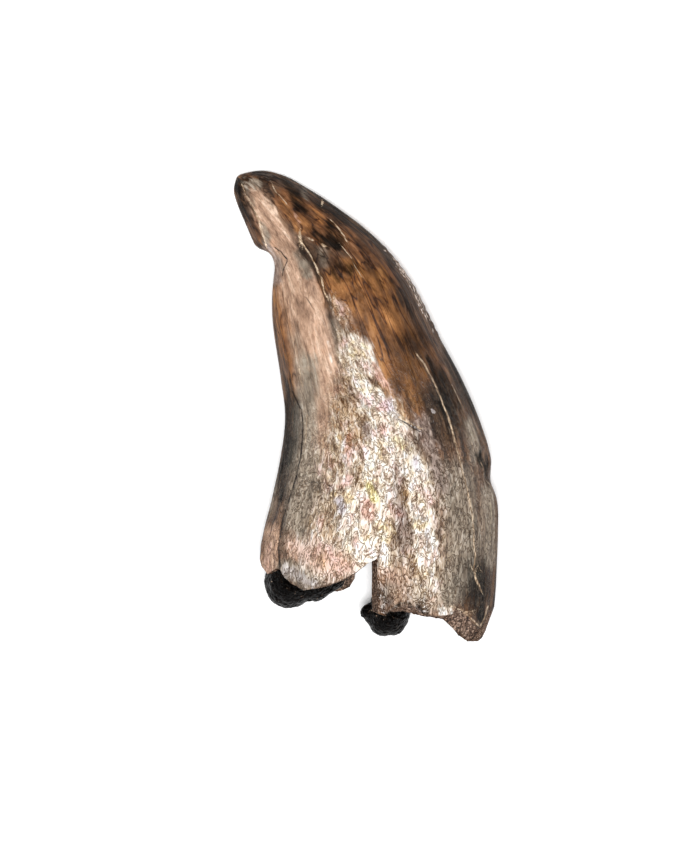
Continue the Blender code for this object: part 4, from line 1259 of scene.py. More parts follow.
@dataclass(frozen=True)
class EnamelFinish:
    """Fossil tooth enamel, stained by iron and manganese in the ground and worn glossy by hand:
    it gives brown streaks along the fibres, pale and black patches, and a wet, wrinkled shine,
    partly painted into the colour as highlights, glints and iridescent tints, with painted shade
    in some dark and grey patches."""

    ground: Ramp = (
        (0.0, "#23160c"), (0.35, "#4e392a"), (0.65, "#765842"), (1.0, "#a07f64"),
    )
    layers: tuple[Layer, ...] = (
        Layer(Stain.RUST, "wood", (
            (0.0, "#2c190c"), (0.35, "#624026"), (0.7, "#90623f"), (1.0, "#ba8a62"))),
        Layer(Stain.AMBER, "wood", (
            (0.0, "#583719"), (0.28, "#7c512b"), (0.55, "#a16d3c"), (0.8, "#bd8650"),
            (1.0, "#dcae7c"))),
        # The pale band; a few of its dabs are painted highlights.
        Layer(Stain.BAND_AND_HIGHLIGHT, "skin", (
            (0.0, "#8c6e5a"), (0.30, "#b9977f"), (0.65, "#d8b49a"), (1.0, "#fce0c8")), fray=0.7),
        # Grey stain, partly painted shade.
        Layer(Stain.ASH_AND_SHADE, "skin", (
            (0.0, "#84796b"), (0.4, "#a89b8a"), (0.7, "#bfb3a3"), (1.0, "#dcd2c4")),
            cut=(0.06, 0.96)),
        # Black stain, partly painted shade; it darkens what lies below.
        Layer(Stain.UMBER_AND_SHADE, "wood", (
            (0.0, "#1c2226"), (0.35, "#414a50"), (0.7, "#73797c"), (1.0, "#b0a89e")),
            cut=(0.08, 0.94), fray=0.7, cover=0.97, blend="MULTIPLY"),
        # Crinkled enamel, whose near-white crests are painted glints.
        Layer(Stain.FOIL_AND_GLINTS, "crinkle", (
            (0.0, "#593c24"), (0.22, "#a18160"), (0.50, "#dac2a4"), (0.75, "#faecdc"),
            (1.0, "#fffcf6")), cut=(0.15, 0.95), fray=0.9, frayed_by="crinkle", cover=0.84),
        # Mauve-brown, mostly painted shade.
        Layer(Stain.MAUVE_AND_SHADE, "crinkle", (
            (0.0, "#4a3a34"), (0.35, "#7f6c64"), (0.65, "#a8958c"), (1.0, "#d8c8be")),
            fray=1.0, frayed_by="crinkle", cover=0.85),
        # The painted highlight, near white and crinkled like the enamel under it.
        Layer(Stain.PAINTED_HIGHLIGHT, "crinkle", (
            (0.0, "#b09a8a"), (0.20, "#e0ccba"), (0.42, "#fbeedd"), (0.7, "#fffdf8"),
            (1.0, "#ffffff")), cut=(0.15, 0.90), fray=1.1, frayed_by="crinkle", cover=0.96),
        Layer(Stain.ROSE, "crinkle", (
            (0.0, "#a8806f"), (0.5, "#e4b8a6"), (1.0, "#ffe4d8")), frayed_by="crinkle"),
        # Painted iridescent glints, gold and pearly.
        Layer(Stain.GILT_AND_GLINT, "crinkle", (
            (0.0, "#8f7e48"), (0.5, "#ece08a"), (1.0, "#fffccc")), frayed_by="crinkle", cover=0.85),
        Layer(Stain.PEARL_AND_GLINT, "crinkle", (
            (0.0, "#8f8a92"), (0.5, "#e0dde8"), (1.0, "#ffffff")), frayed_by="crinkle", cover=0.8),
        Layer(Stain.CRUMB, "crumb", (
            (0.0, "#3a3633"), (0.5, "#8c7e75"), (0.8, "#cdbdb1"), (1.0, "#faece2")),
            cut=(0.32, 0.80), fray=1.7, frayed_by="crumb"),
        Layer(Stain.CORE, "grit", (
            (0.0, "#33241b"), (0.4, "#765e4f"), (0.7, "#a38a7a"), (1.0, "#dccab8")),
            fray=0.3, frayed_by="grit"),
        Layer(Stain.DENTINE, "grit", (
            (0.0, "#22160f"), (0.4, "#5f4a3c"), (0.7, "#8d7464"), (1.0, "#c3ab9a")), fray=0.2),
    )
    veins: tuple[tuple[Vein, Ramp], ...] = (
        (Vein.PALE, ((0.0, "#a58a6d"), (1.0, "#f7e2c6"))),
        (Vein.DARK_AND_SHADOW, ((0.0, "#0c0704"), (1.0, "#3a291d"))),
    )
    # A crack's distances from its middle, in half widths, where it starts to fade and is gone, and
    # how much a texture adds to the distance.
    vein_edge: tuple[float, float] = (0.55, 1.15)
    vein_sway: float = 0.45
    # The texture's values between which a crack comes back in full, and what is left below them.
    vein_gate: tuple[float, float, float] = (0.15, 0.5, 0.62)
    # name: scale per mm across and along, detail, distortion, roughness, and how far either side
    # of its middle value the noise is spread from 0 to 1.
    noises: tuple[tuple[str, Point, float, float, float, float], ...] = (
        ("fibre", (3.4, 3.4, 0.26), 5.0, 0.6, 0.62, 0.15),
        ("strand", (1.7, 1.7, 0.24), 7.0, 0.8, 0.66, 0.17),
        ("flow", (1.05, 1.05, 0.19), 3.0, 1.6, 0.52, 0.15),
        ("crease", (5.4, 5.4, 1.5), 2.0, 0.9, 0.55, 0.13),
        ("speck", (7.0, 7.0, 2.6), 2.0, 0.8, 0.60, 0.14),
        ("cloud", (0.85, 0.85, 0.36), 4.0, 1.2, 0.60, 0.16),
        ("worm", (4.0, 4.0, 1.7), 2.0, 1.3, 0.55, 0.20),
        ("hair", (2.4, 2.4, 0.105), 1.0, 0.30, 0.50, 0.20),
        ("crumb", (4.6, 4.6, 4.0), 1.0, 0.5, 0.50, 0.16),
        ("tint", (1.6, 1.6, 1.0), 2.0, 0.5, 0.60, 0.20),
        ("grit", (9.0, 9.0, 9.0), 2.0, 0.0, 0.60, 0.16),
    )
    # How far each noise is moved from the one before, so that they don't line up.
    noise_step: Point = (3.1, 0.0, 1.7)
    # name: how much of the second of the next two textures is mixed with the first.
    blends: tuple[tuple[str, float, str, str], ...] = (
        ("crinkle", 0.50, "crinkle", "crease"), ("wood", 0.52, "strand", "flow"),
        ("fibre", 0.35, "fibre", "flow"),
    )
    # name: the texture, the value at which it is crossed, and the line's width in the same.
    lines: tuple[tuple[str, str, float, float], ...] = (
        ("groove", "worm", 0.48, 0.14), ("crest", "worm", 0.70, 0.12), ("hair", "hair", 0.5, 0.085),
    )
    # Painted iridescence: gold and pink tints over the crinkled enamel, standing in for its
    # reflection's colours.
    painted_iridescence: Ramp = (
        (0.0, "#fff0c4"), (0.2, "#fff8ea"), (0.5, "#ffffff"), (0.78, "#fbeef1"), (1.0, "#f7d4d6"),
    )
    # Broad shifts of tone, fine pores and thin hairs darken what they cover; the thin grooves get a
    # painted shade and the crests beside them a painted highlight.
    veils: tuple[Veil, ...] = (
        Veil("cloud", ((0.0, "#a2968b"), (0.4, "#e6ddd4"), (0.65, "#ffffff"), (1.0, "#fff0e4")),
             "painted_highlight", 0.60, 0.20),
        Veil("speck", ((0.0, "#a3948a"), (0.5, "#f2efec"), (1.0, "#ffffff")), "painted_highlight", 0.50, 0.15),
        Veil("hair", ((0.0, "#4c3422"), (0.7, "#e6d9cc"), (1.0, "#ffffff")), "hairless", 0.95, 0.0),
        # Painted shade in the grooves, then a painted highlight on the crests beside them.
        Veil("groove", ((0.0, "#6c5036"), (0.6, "#e8dccd"), (1.0, "#ffffff")), "worn", 0.0, 0.85),
        Veil("crest", ((0.0, "#6a6054"), (0.8, "#0c0b0a"), (1.0, "#000000")), "worn", 0.0, 0.70,
             "SCREEN"),
    )
    # How much of the hairs the pale band hides.
    hairless_band: float = 0.72
    # The strength and the height in metres of the fibres' and of the creases' bumps.
    fibre_bump: tuple[float, float] = (0.35, 0.00005)
    crease_bump: tuple[float, float] = (0.9, 0.00006)
    # The gloss where the enamel faces the eye and where it turns away, between two values of the
    # turn, and what is left of it in the black stain and its painted shade.
    gloss: tuple[float, float] = (0.50, 0.03)
    gloss_turn: tuple[float, float] = (0.20, 0.62)
    gloss_in_umber: float = 0.35
    roughness: tuple[float, float] = (0.30, 0.52)
    roughness_of_dentine: float = 0.75
    refraction: float = 1.54

    def textures(self, tree: Tree) -> dict[str, Socket]:
        """The noises that the finish is made of, all in the grain's own coordinates, which are
        millimetres round and along the crown, and the crinkle that the mesh itself carries.

        Args:
            tree: The material's node tree.

        Returns:
            Output sockets by name, each from 0 to 1.
        """
        grain = add_node(tree, "Attribute", {"attribute_name": "grain"})
        found = {}
        for k, (name, scale, detail, bend, keep, spread) in enumerate(self.noises):
            place = add_node(tree, "Mapping", None, {
                "Vector": grain.outputs["Vector"], "Scale": scale,
                "Location": [k * step for step in self.noise_step]})
            noise = add_node(tree, "TexNoise", None, {
                "Vector": place.outputs["Vector"], "Scale": 1.0, "Detail": detail,
                "Roughness": keep, "Distortion": bend})
            found[name] = add_node(tree, "MapRange", None, {
                "Value": noise.outputs["Fac"], "From Min": 0.5 - spread,
                "From Max": 0.5 + spread}).outputs["Result"]
        for name in ("crinkle", "worn"):
            found[name] = add_node(tree, "Attribute", {"attribute_name": name}).outputs["Fac"]
        for name, amount, first, second in (
            *self.blends, ("skin", found["worn"], "strand", "crinkle"),
        ):
            found[name] = add_node(tree, "Mix", None, {
                0: amount, 2: found[first], 3: found[second]}).outputs[0]
        # Thin wavy lines, where a noise crosses a value: grooves, which get painted shade and a
        # bump, the crests beside them, which get a painted highlight, and, drawn out along the
        # fibres, hairs.
        for name, texture, crossed, width in self.lines:
            away = add_node(tree, "Math", {"operation": "SUBTRACT"}, {
                0: found[texture], 1: crossed})
            gap = add_node(tree, "Math", {"operation": "ABSOLUTE"}, {0: away.outputs[0]})
            found[name] = add_node(tree, "MapRange", None, {
                "Value": gap.outputs[0], "From Max": width}).outputs["Result"]
        return found

    @staticmethod
    def cover(tree: Tree, layer: Layer, noise: dict[str, Socket]) -> Socket:
        """How much of a layer shows: its mask times one plus the fraying texture's swing, cut
        by an S-curve between the layer's two values.

        Args:
            tree: The material's node tree.
            layer: The layer.
            noise: The textures by name.

        Returns:
            The covering's socket, from 0 to the layer's cover.
        """
        read = add_node(tree, "Attribute", {"attribute_name": layer.mask})
        swing = add_node(tree, "Math", {"operation": "MULTIPLY_ADD"}, {
            0: noise[layer.frayed_by], 1: layer.fray, 2: 1 - layer.fray / 2})
        sized = add_node(tree, "Math", {"operation": "MULTIPLY"}, {
            0: read.outputs["Fac"], 1: swing.outputs[0]})
        return add_node(tree, "MapRange", {"interpolation_type": "SMOOTHSTEP"}, {
            "Value": sized.outputs[0], "From Min": layer.cut[0], "From Max": layer.cut[1],
            "To Max": layer.cover}).outputs["Result"]

    def veined(
        self, tree: Tree, vein: Vein, own: Socket, below: Socket, sway: Socket, gate: Socket,
    ) -> Socket:
        """Draws the cracks of one kind over a colour: each is there where the signed distance
        from its middle, in half widths and swayed a little, is small either way.

        Args:
            tree: The material's node tree.
            vein: The kind of crack.
            own: The cracks' colour.
            below: The colour that they cross.
            sway: A texture that varies their width.
            gate: A texture that breaks them up where it is low.

        Returns:
            The colour's socket.
        """
        side = add_node(tree, "Attribute", {"attribute_name": vein + "_side"})
        band = add_node(tree, "Attribute", {"attribute_name": vein})
        away = add_node(tree, "Math", {"operation": "ABSOLUTE"}, {0: side.outputs["Fac"]})
        swayed = add_node(tree, "Math", {"operation": "MULTIPLY_ADD"}, {
            0: sway, 1: self.vein_sway, 2: away.outputs[0]})
        line = add_node(tree, "MapRange", {"interpolation_type": "SMOOTHSTEP"}, {
            "Value": swayed.outputs[0], "From Min": self.vein_edge[0],
            "From Max": self.vein_edge[1], "To Min": 1.0, "To Max": 0.0})
        low, high, left = self.vein_gate
        broken = add_node(tree, "MapRange", None, {
            "Value": gate, "From Min": low, "From Max": high, "To Min": left})
        whole = add_node(tree, "Math", {"operation": "MULTIPLY"}, {
            0: broken.outputs["Result"], 1: band.outputs["Fac"]})
        shown = add_node(tree, "Math", {"operation": "MULTIPLY", "use_clamp": True}, {
            0: line.outputs["Result"], 1: whole.outputs[0]})
        return add_node(tree, "Mix", {"data_type": "RGBA"}, {
            0: shown.outputs[0], 6: below, 7: own}).outputs[2]

    def material(self) -> bpy.types.Material:
        """Builds the stained enamel: the ground, the layers over it in their order, among them
        painted highlights, glints and shade, painted iridescent tints over the crinkled enamel, and
        bumps of the fibres and of the creases.

        Returns:
            The material.
        """
        made = bpy.data.materials.new("stained_fossil_enamel")
        made.use_nodes = True
        tree = made.node_tree
        shader = tree.nodes["Principled BSDF"]
        noise = self.textures(tree)
        colour = add_node(tree, COLOUR_RAMP, None, {0: noise["wood"]}, self.ground).outputs["Color"]
        covers = {}
        for layer in self.layers:
            own = add_node(tree, COLOUR_RAMP, None, {0: noise[layer.texture]}, layer.ramp)
            covers[layer.mask] = self.cover(tree, layer, noise)
            colour = add_node(tree, "Mix", {"data_type": "RGBA", "blend_type": layer.blend}, {
                0: covers[layer.mask], 6: colour, 7: own.outputs["Color"]}).outputs[2]
        for vein, stops in self.veins:
            own = add_node(tree, COLOUR_RAMP, None, {0: noise["speck"]}, stops)
            colour = self.veined(tree, vein, own.outputs["Color"], colour, noise["tint"],
                                 noise["crease"])
        # The painted iridescence over the crinkled enamel.
        iridescent_tint = add_node(tree, COLOUR_RAMP, None, {0: noise["tint"]}, self.painted_iridescence)
        colour = add_node(tree, "Mix", {"data_type": "RGBA", "blend_type": "MULTIPLY"}, {
            0: covers[Stain.FOIL_AND_GLINTS], 6: colour, 7: iridescent_tint.outputs["Color"]}).outputs[2]
        # Hairs show in the fibrous enamel, least of all in the pale band.
        smooth = add_node(tree, "Math", {"operation": "MULTIPLY"}, {
            0: covers[Stain.BAND_AND_HIGHLIGHT], 1: self.hairless_band})
        smooth = add_node(tree, "Math", {"operation": "MAXIMUM"}, {
            0: smooth.outputs[0], 1: noise["worn"]})
        # Where the highlight is painted, the broad tone and the pores darken less.
        places = {"painted_highlight": covers[Stain.PAINTED_HIGHLIGHT], "hairless": smooth.outputs[0],
                  "worn": noise["worn"]}
        for veil in self.veils:
            own = add_node(tree, COLOUR_RAMP, None, {0: noise[veil.texture]}, veil.ramp)
            amount = add_node(tree, "MapRange", None, {
                "Value": places[veil.where], "To Min": veil.plain, "To Max": veil.changed})
            colour = add_node(tree, "Mix", {"data_type": "RGBA", "blend_type": veil.blend}, {
                0: amount.outputs["Result"], 6: colour, 7: own.outputs["Color"]}).outputs[2]
        rough = add_node(tree, "MapRange", None, {
            "Value": noise["speck"], "To Min": self.roughness[0], "To Max": self.roughness[1]})
        rough = add_node(tree, "Mix", None, {
            0: covers[Stain.DENTINE], 2: rough.outputs["Result"], 3: self.roughness_of_dentine})
        strength, height = self.fibre_bump
        ridges = add_node(tree, "Bump", None, {
            "Height": noise["fibre"], "Strength": strength, "Distance": height})
        creased = add_node(tree, "Math", {"operation": "MULTIPLY_ADD"}, {
            0: noise["crease"], 1: covers[Stain.FOIL_AND_GLINTS], 2: noise["groove"]})
        worn = add_node(tree, "Math", {"operation": "MULTIPLY"}, {
            0: creased.outputs[0], 1: noise["worn"]})
        strength, height = self.crease_bump
        creases = add_node(tree, "Bump", None, {
            "Height": worn.outputs[0], "Strength": strength, "Distance": height,
            "Normal": ridges.outputs["Normal"]})
        tree.links.new(colour, shader.inputs["Base Color"])
        tree.links.new(rough.outputs[0], shader.inputs["Roughness"])
        facing = add_node(tree, "LayerWeight", None, {"Blend": 0.5})
        gloss = add_node(tree, "MapRange", None, {
            "Value": facing.outputs["Facing"], "From Min": self.gloss_turn[0],
            "From Max": self.gloss_turn[1], "To Min": self.gloss[0], "To Max": self.gloss[1]})
        matt = add_node(tree, "MapRange", None, {
            "Value": covers[Stain.UMBER_AND_SHADE], "To Min": 1.0, "To Max": self.gloss_in_umber})
        gloss = add_node(tree, "Math", {"operation": "MULTIPLY"}, {
            0: gloss.outputs["Result"], 1: matt.outputs["Result"]})
        tree.links.new(gloss.outputs[0], shader.inputs["Specular IOR Level"])
        tree.links.new(creases.outputs["Normal"], shader.inputs["Normal"])
        shader.inputs["IOR"].default_value = self.refraction
        return made


@dataclass(frozen=True)
class MatrixFinish:
    """Black, cemented river sand with a little bitumen shine: grains of about a tenth of a
    millimetre with here and there a paler one."""

    body: Ramp = (
        (0.0, "#000000"), (0.60, "#050302"), (0.84, "#1a120d"), (0.94, "#7a6555"), (1.0, "#c8b4a0"),
    )
    # Grains and facets per metre, the sand's detail, roughness and distortion, and the bump's
    # height in metres.
    sand_scale: float = 4300.0
    sand: tuple[float, float, float] = (3.0, 0.6, 0.8)
    facet_scale: float = 3800.0
    facet_depth: float = 1.2
    bump_height: float = 0.00014
    # The sand's values that the ramp runs between.
    spread: tuple[float, float] = (0.30, 0.74)
    roughness: float = 0.30
    specular: float = 0.07

    def material(self) -> bpy.types.Material:
        """Builds the black matrix.

        Returns:
            The material.
        """
        made = bpy.data.materials.new("black_sandy_matrix")
        made.use_nodes = True
        tree = made.node_tree
        shader = tree.nodes["Principled BSDF"]
        where = add_node(tree, "TexCoord").outputs["Object"]
        detail, keep, bend = self.sand
        sand = add_node(tree, "TexNoise", None, {
            "Vector": where, "Scale": self.sand_scale, "Detail": detail, "Roughness": keep,
            "Distortion": bend})
        shade = add_node(tree, "MapRange", None, {
            "Value": sand.outputs["Fac"], "From Min": self.spread[0], "From Max": self.spread[1]})
        colour = add_node(tree, COLOUR_RAMP, None, {0: shade.outputs["Result"]}, self.body)
        facets = add_node(tree, "TexVoronoi", None, {"Vector": where, "Scale": self.facet_scale})
        height = add_node(tree, "Math", {"operation": "MULTIPLY_ADD"}, {
            0: facets.outputs["Distance"], 1: -self.facet_depth, 2: sand.outputs["Fac"]})
        bump = add_node(tree, "Bump", None, {
            "Height": height.outputs[0], "Distance": self.bump_height})
        tree.links.new(colour.outputs["Color"], shader.inputs["Base Color"])
        tree.links.new(bump.outputs["Normal"], shader.inputs["Normal"])
        shader.inputs["Roughness"].default_value = self.roughness
        shader.inputs["Specular IOR Level"].default_value = self.specular
        return made


@dataclass(frozen=True)
class FloorFinish:
    """Matt white card on a faintly lit table: it gives an even pale ground and a soft shadow."""

    colour: str = "#f9f9f9"
    fibre_colour: str = "#f3f3f3"
    # Per metre.
    fibre_scale: float = 400.0
    roughness: float = 0.9
    glow: float = 0.14

    def material(self) -> bpy.types.Material:
        """Builds the floor's card.

        Returns:
            The material.
        """
        made = bpy.data.materials.new("matt_white_card")
        made.use_nodes = True
        tree = made.node_tree
        shader = tree.nodes["Principled BSDF"]
        where = add_node(tree, "TexCoord").outputs["Object"]
        fibres = add_node(tree, "TexNoise", None, {"Vector": where, "Scale": self.fibre_scale})
        colour = add_node(tree, "Mix", {"data_type": "RGBA"}, {
            0: fibres.outputs["Fac"], 6: linear(self.fibre_colour), 7: linear(self.colour)})
        tree.links.new(colour.outputs[2], shader.inputs["Base Color"])
        shader.inputs["Roughness"].default_value = self.roughness
        shader.inputs["Emission Color"].default_value = WHITE
        shader.inputs["Emission Strength"].default_value = self.glow
        return made


@dataclass
class Crown:
    """The tooth's crown as one closed fine surface: from the tip down the outside, over the
    broken rim and up the hollow."""

    shape: CrownShape = field(default_factory=CrownShape)
    rim: BrokenRim = field(default_factory=BrokenRim)
    relief: Relief = field(default_factory=Relief)
    stain_map: StainMap = field(default_factory=StainMap)
    finish: EnamelFinish = field(default_factory=EnamelFinish)
    # Up to the first place the columns are the rim's own, and past the second they are even.
    hold_place: float = 0.205
    spread_place: float = 0.50
    carina_column: float = math.radians(148)
    # The first row's share of the tip's quarter turn.
    tip_start: float = 0.12
    rows_tip: int = 12
    rows_free: int = 190
    rows_held: int = 34
    rows_break: int = 10
    rows_hollow: int = 12
    # The rows bunch towards the enamel's edge by the first power and the crest by the second.
    edge_bunching: float = 1.3
    crest_bunching: float = 0.9
    # The worn base ends between these places, which the crinkle moves a little.
    worn_places: tuple[float, float] = (0.30, 0.60)
    worn_uneven: float = 0.03
    # The grain's coordinates are those of a rod: its radius where the half width is grain_width,
    # how the radius follows the half width, and its loss inside the wall.
    grain_radius: float = 5.0
    grain_width: float = 6.6
    grain_power: float = 0.6
    grain_in_wall: float = 0.6
    grain_length: float = 33.0
    grain_end: float = 0.985
    gravel_height: Point = (0.03, 0.10, 0.04)
    gravel_grain: float = 2.6

    def even_angle(self, even: Array, place: Array) -> Array:
        """The angle of an evenly spread column, bent so that the carina's column keeps to the
        carina: straight from 0 to it, from it to half a turn, and unchanged past that.

        Args:
            even: The column's own angle.
            place: The place along the crown.

        Returns:
            The angle round the section.
        """
        carina = self.shape.carina_angle(place)
        key = self.carina_column
        low = even * carina / key
        middle = carina + (even - key) * (math.pi - carina) / (math.pi - key)
        return np.where(even <= key, low, np.where(even <= math.pi, middle, even))

    @staticmethod
    def near_turn(angle: Array, other: Array) -> Array:
        """The angle's whole-turn equal that is nearest to the other."""
        return other + np.mod(angle - other + math.pi, 2 * math.pi) - math.pi

    def columns(self) -> dict[str, Any]:
        """Where each column meets the enamel's edge, the crest and the hollow's edge, and its
        angle where the columns are evenly spread.

        Returns:
            Places and angles by name, one for each column.
        """
        rows, mesial, distal = self.rim.points()
        count = len(rows)
        index = np.arange(count)
        near_side = (index <= mesial) | (index >= distal)
        turns = (self.carina_column, 0.0, -math.pi, self.carina_column - 2 * math.pi)
        even = np.mod(np.interp(index, (0, mesial, distal, count), turns), 2 * math.pi)
        enamel = rows[:, :2]
        place, angle = self.shape.locate(enamel, near_side)
        cut = self.shape.section(place)
        middle, half = cut["middle"][:, 0], cut["full"]
        found: dict[str, Any] = {"even": even, "enamel": (place, angle)}
        wall = self.shape.wall
        share = self.shape.crest_in_wall
        for name, inset, lower, shift in (
            ("crest", share * wall, rows[:, 2], rows[:, 4] * share),
            ("hollow", wall, rows[:, 3], rows[:, 4]),
        ):
            x = middle + (enamel[:, 0] - middle) * (1 - inset / half) + shift
            spot = np.stack([x, enamel[:, 1] - lower], axis=-1)
            found[name] = self.shape.locate(spot, near_side, inset)
        return found

    def grid(self) -> dict[str, Array]:
        """The place, angle, inset and closing of each grid point: evenly spread columns near the
        tip that slide to the rim's own columns, run straight down to the rim, cross the wall and
        narrow up the hollow as a quarter of an ellipse.

        Returns:
            Arrays of rows by columns, and how far each point is into the broken dentine.
        """
        columns = self.columns()
        even = columns["even"]
        rim_place, rim_angle = columns["enamel"]
        start = 1 - self.shape.tip_rounding
        turn = np.linspace(self.tip_start, 1.0, self.rows_tip) * math.pi / 2
        tip = 1 - self.shape.tip_rounding * (1 - np.cos(turn))
        free = np.linspace(start, self.hold_place, self.rows_free + 1)[1:]
        fall = np.concatenate([tip, free])[:, None] * np.ones_like(even)
        pull = 1 - smooth_step(self.hold_place, self.spread_place, fall)
        spread = self.even_angle(even[None] + 0 * fall, fall)
        turned = spread + (self.near_turn(rim_angle[None], spread) - spread) * pull
        parts = [(fall, turned, 0 * fall, 1 + 0 * fall, 0 * fall)]
        share = np.linspace(0, 1, self.rows_held + 1)[1:, None]
        held = self.hold_place + (rim_place - self.hold_place) * share
        parts.append((held, rim_angle + 0 * held, 0 * held, 1 + 0 * held, 0 * held))
        wall = self.shape.wall
        crest_place, crest_angle = columns["crest"]
        crest_angle = self.near_turn(crest_angle, rim_angle)
        hollow_place, hollow_angle = columns["hollow"]
        hollow_angle = self.near_turn(hollow_angle, crest_angle)
        edge = (rim_place, rim_angle, 0.0)
        crest = (crest_place, crest_angle, self.shape.crest_in_wall * wall)
        hollow = (hollow_place, hollow_angle, wall)
        even_share = np.linspace(0, 1, self.rows_break // 2 + 1)[1:, None]
        for first, last, bunching in (
            (edge, crest, self.edge_bunching), (crest, hollow, self.crest_bunching),
        ):
            share = even_share**bunching
            crossed, around, inset = (a + (b - a) * share for a, b in zip(first, last))
            inset = inset + 0 * crossed
            parts.append((crossed, around, inset, 1 + 0 * inset, 1 + 0 * inset))
        share = np.linspace(0, 1, self.rows_hollow + 1)[1:-1, None]
        up = hollow_place + (self.shape.hollow_end - hollow_place) * share
        around = hollow_angle + (self.near_turn(even, hollow_angle) - hollow_angle) * share
        close = np.sqrt(1 - share**2) + 0 * up
        parts.append((up, around, wall + 0 * up, close, 1 + 0 * up))
        names = ("place", "angle", "inset", "closing", "dentine")
        return {name: np.concatenate([p[k] for p in parts]) for k, name in enumerate(names)}

    def build(self) -> bpy.types.Object:
        """Builds the crown's mesh with its attributes and puts its finish on.

        Returns:
            The finished object.
        """
        grid = self.grid()
        place, angle = grid["place"], grid["angle"]
        outside = 1 - grid["dentine"]
        broad = self.relief.broad(self.shape, place, angle) * outside
        spot = self.shape.surface(place, angle, grid["inset"], grid["closing"], broad)
        width = self.shape.section(np.clip(place, 0.0, self.grain_end))["half"]
        radius = self.grain_radius * (width / self.grain_width) ** self.grain_power
        radius = radius - self.grain_in_wall * grid["inset"]
        grain = np.stack([radius * np.cos(angle), radius * np.sin(angle),
                          self.grain_length * place], axis=-1)
        flat = self.stain_map.near_spot(self.shape, spot, place, angle)
        masks = self.stain_map.stains(flat, grain, angle)
        masks.update(self.stain_map.cracks(flat, grain))
        for name in masks:
            if not name.endswith("_side"):
                masks[name] = masks[name] * outside
        masks["crinkle"] = self.relief.crinkle(grain)
        worn = 1 - smooth_step(*self.worn_places, place + self.worn_uneven * masks["crinkle"])
        masks["worn"] = np.maximum(worn, masks[Stain.FOIL_AND_GLINTS]) * outside
        fine = self.relief.fine(spot[..., :2], grain, place, angle, masks) * outside
        gravel = layered_noise(spot * self.gravel_grain, Seed.GRAVEL) * grid["dentine"]
        gravel = gravel * (grid["closing"] >= 1)
        spot = self.shape.surface(place, angle, grid["inset"], grid["closing"], broad + fine)
        spot = spot + gravel[..., None] * self.gravel_height
        # Nothing reaches below the surface that the tooth lies on.
        spot[..., 2] = np.maximum(spot[..., 2], 0.0)
        fields = {"grain": grain, "dentine": grid["dentine"], **masks}
        tip = spot[0].mean(axis=0)
        end = spot[-1].mean(axis=0)
        piece = MeshMaker.closed_grid("stained_crown", spot, tip, end, fields)
        piece.data.materials.append(self.finish.material())
        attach(piece, "root")
        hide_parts("tooth_crown")
        return piece


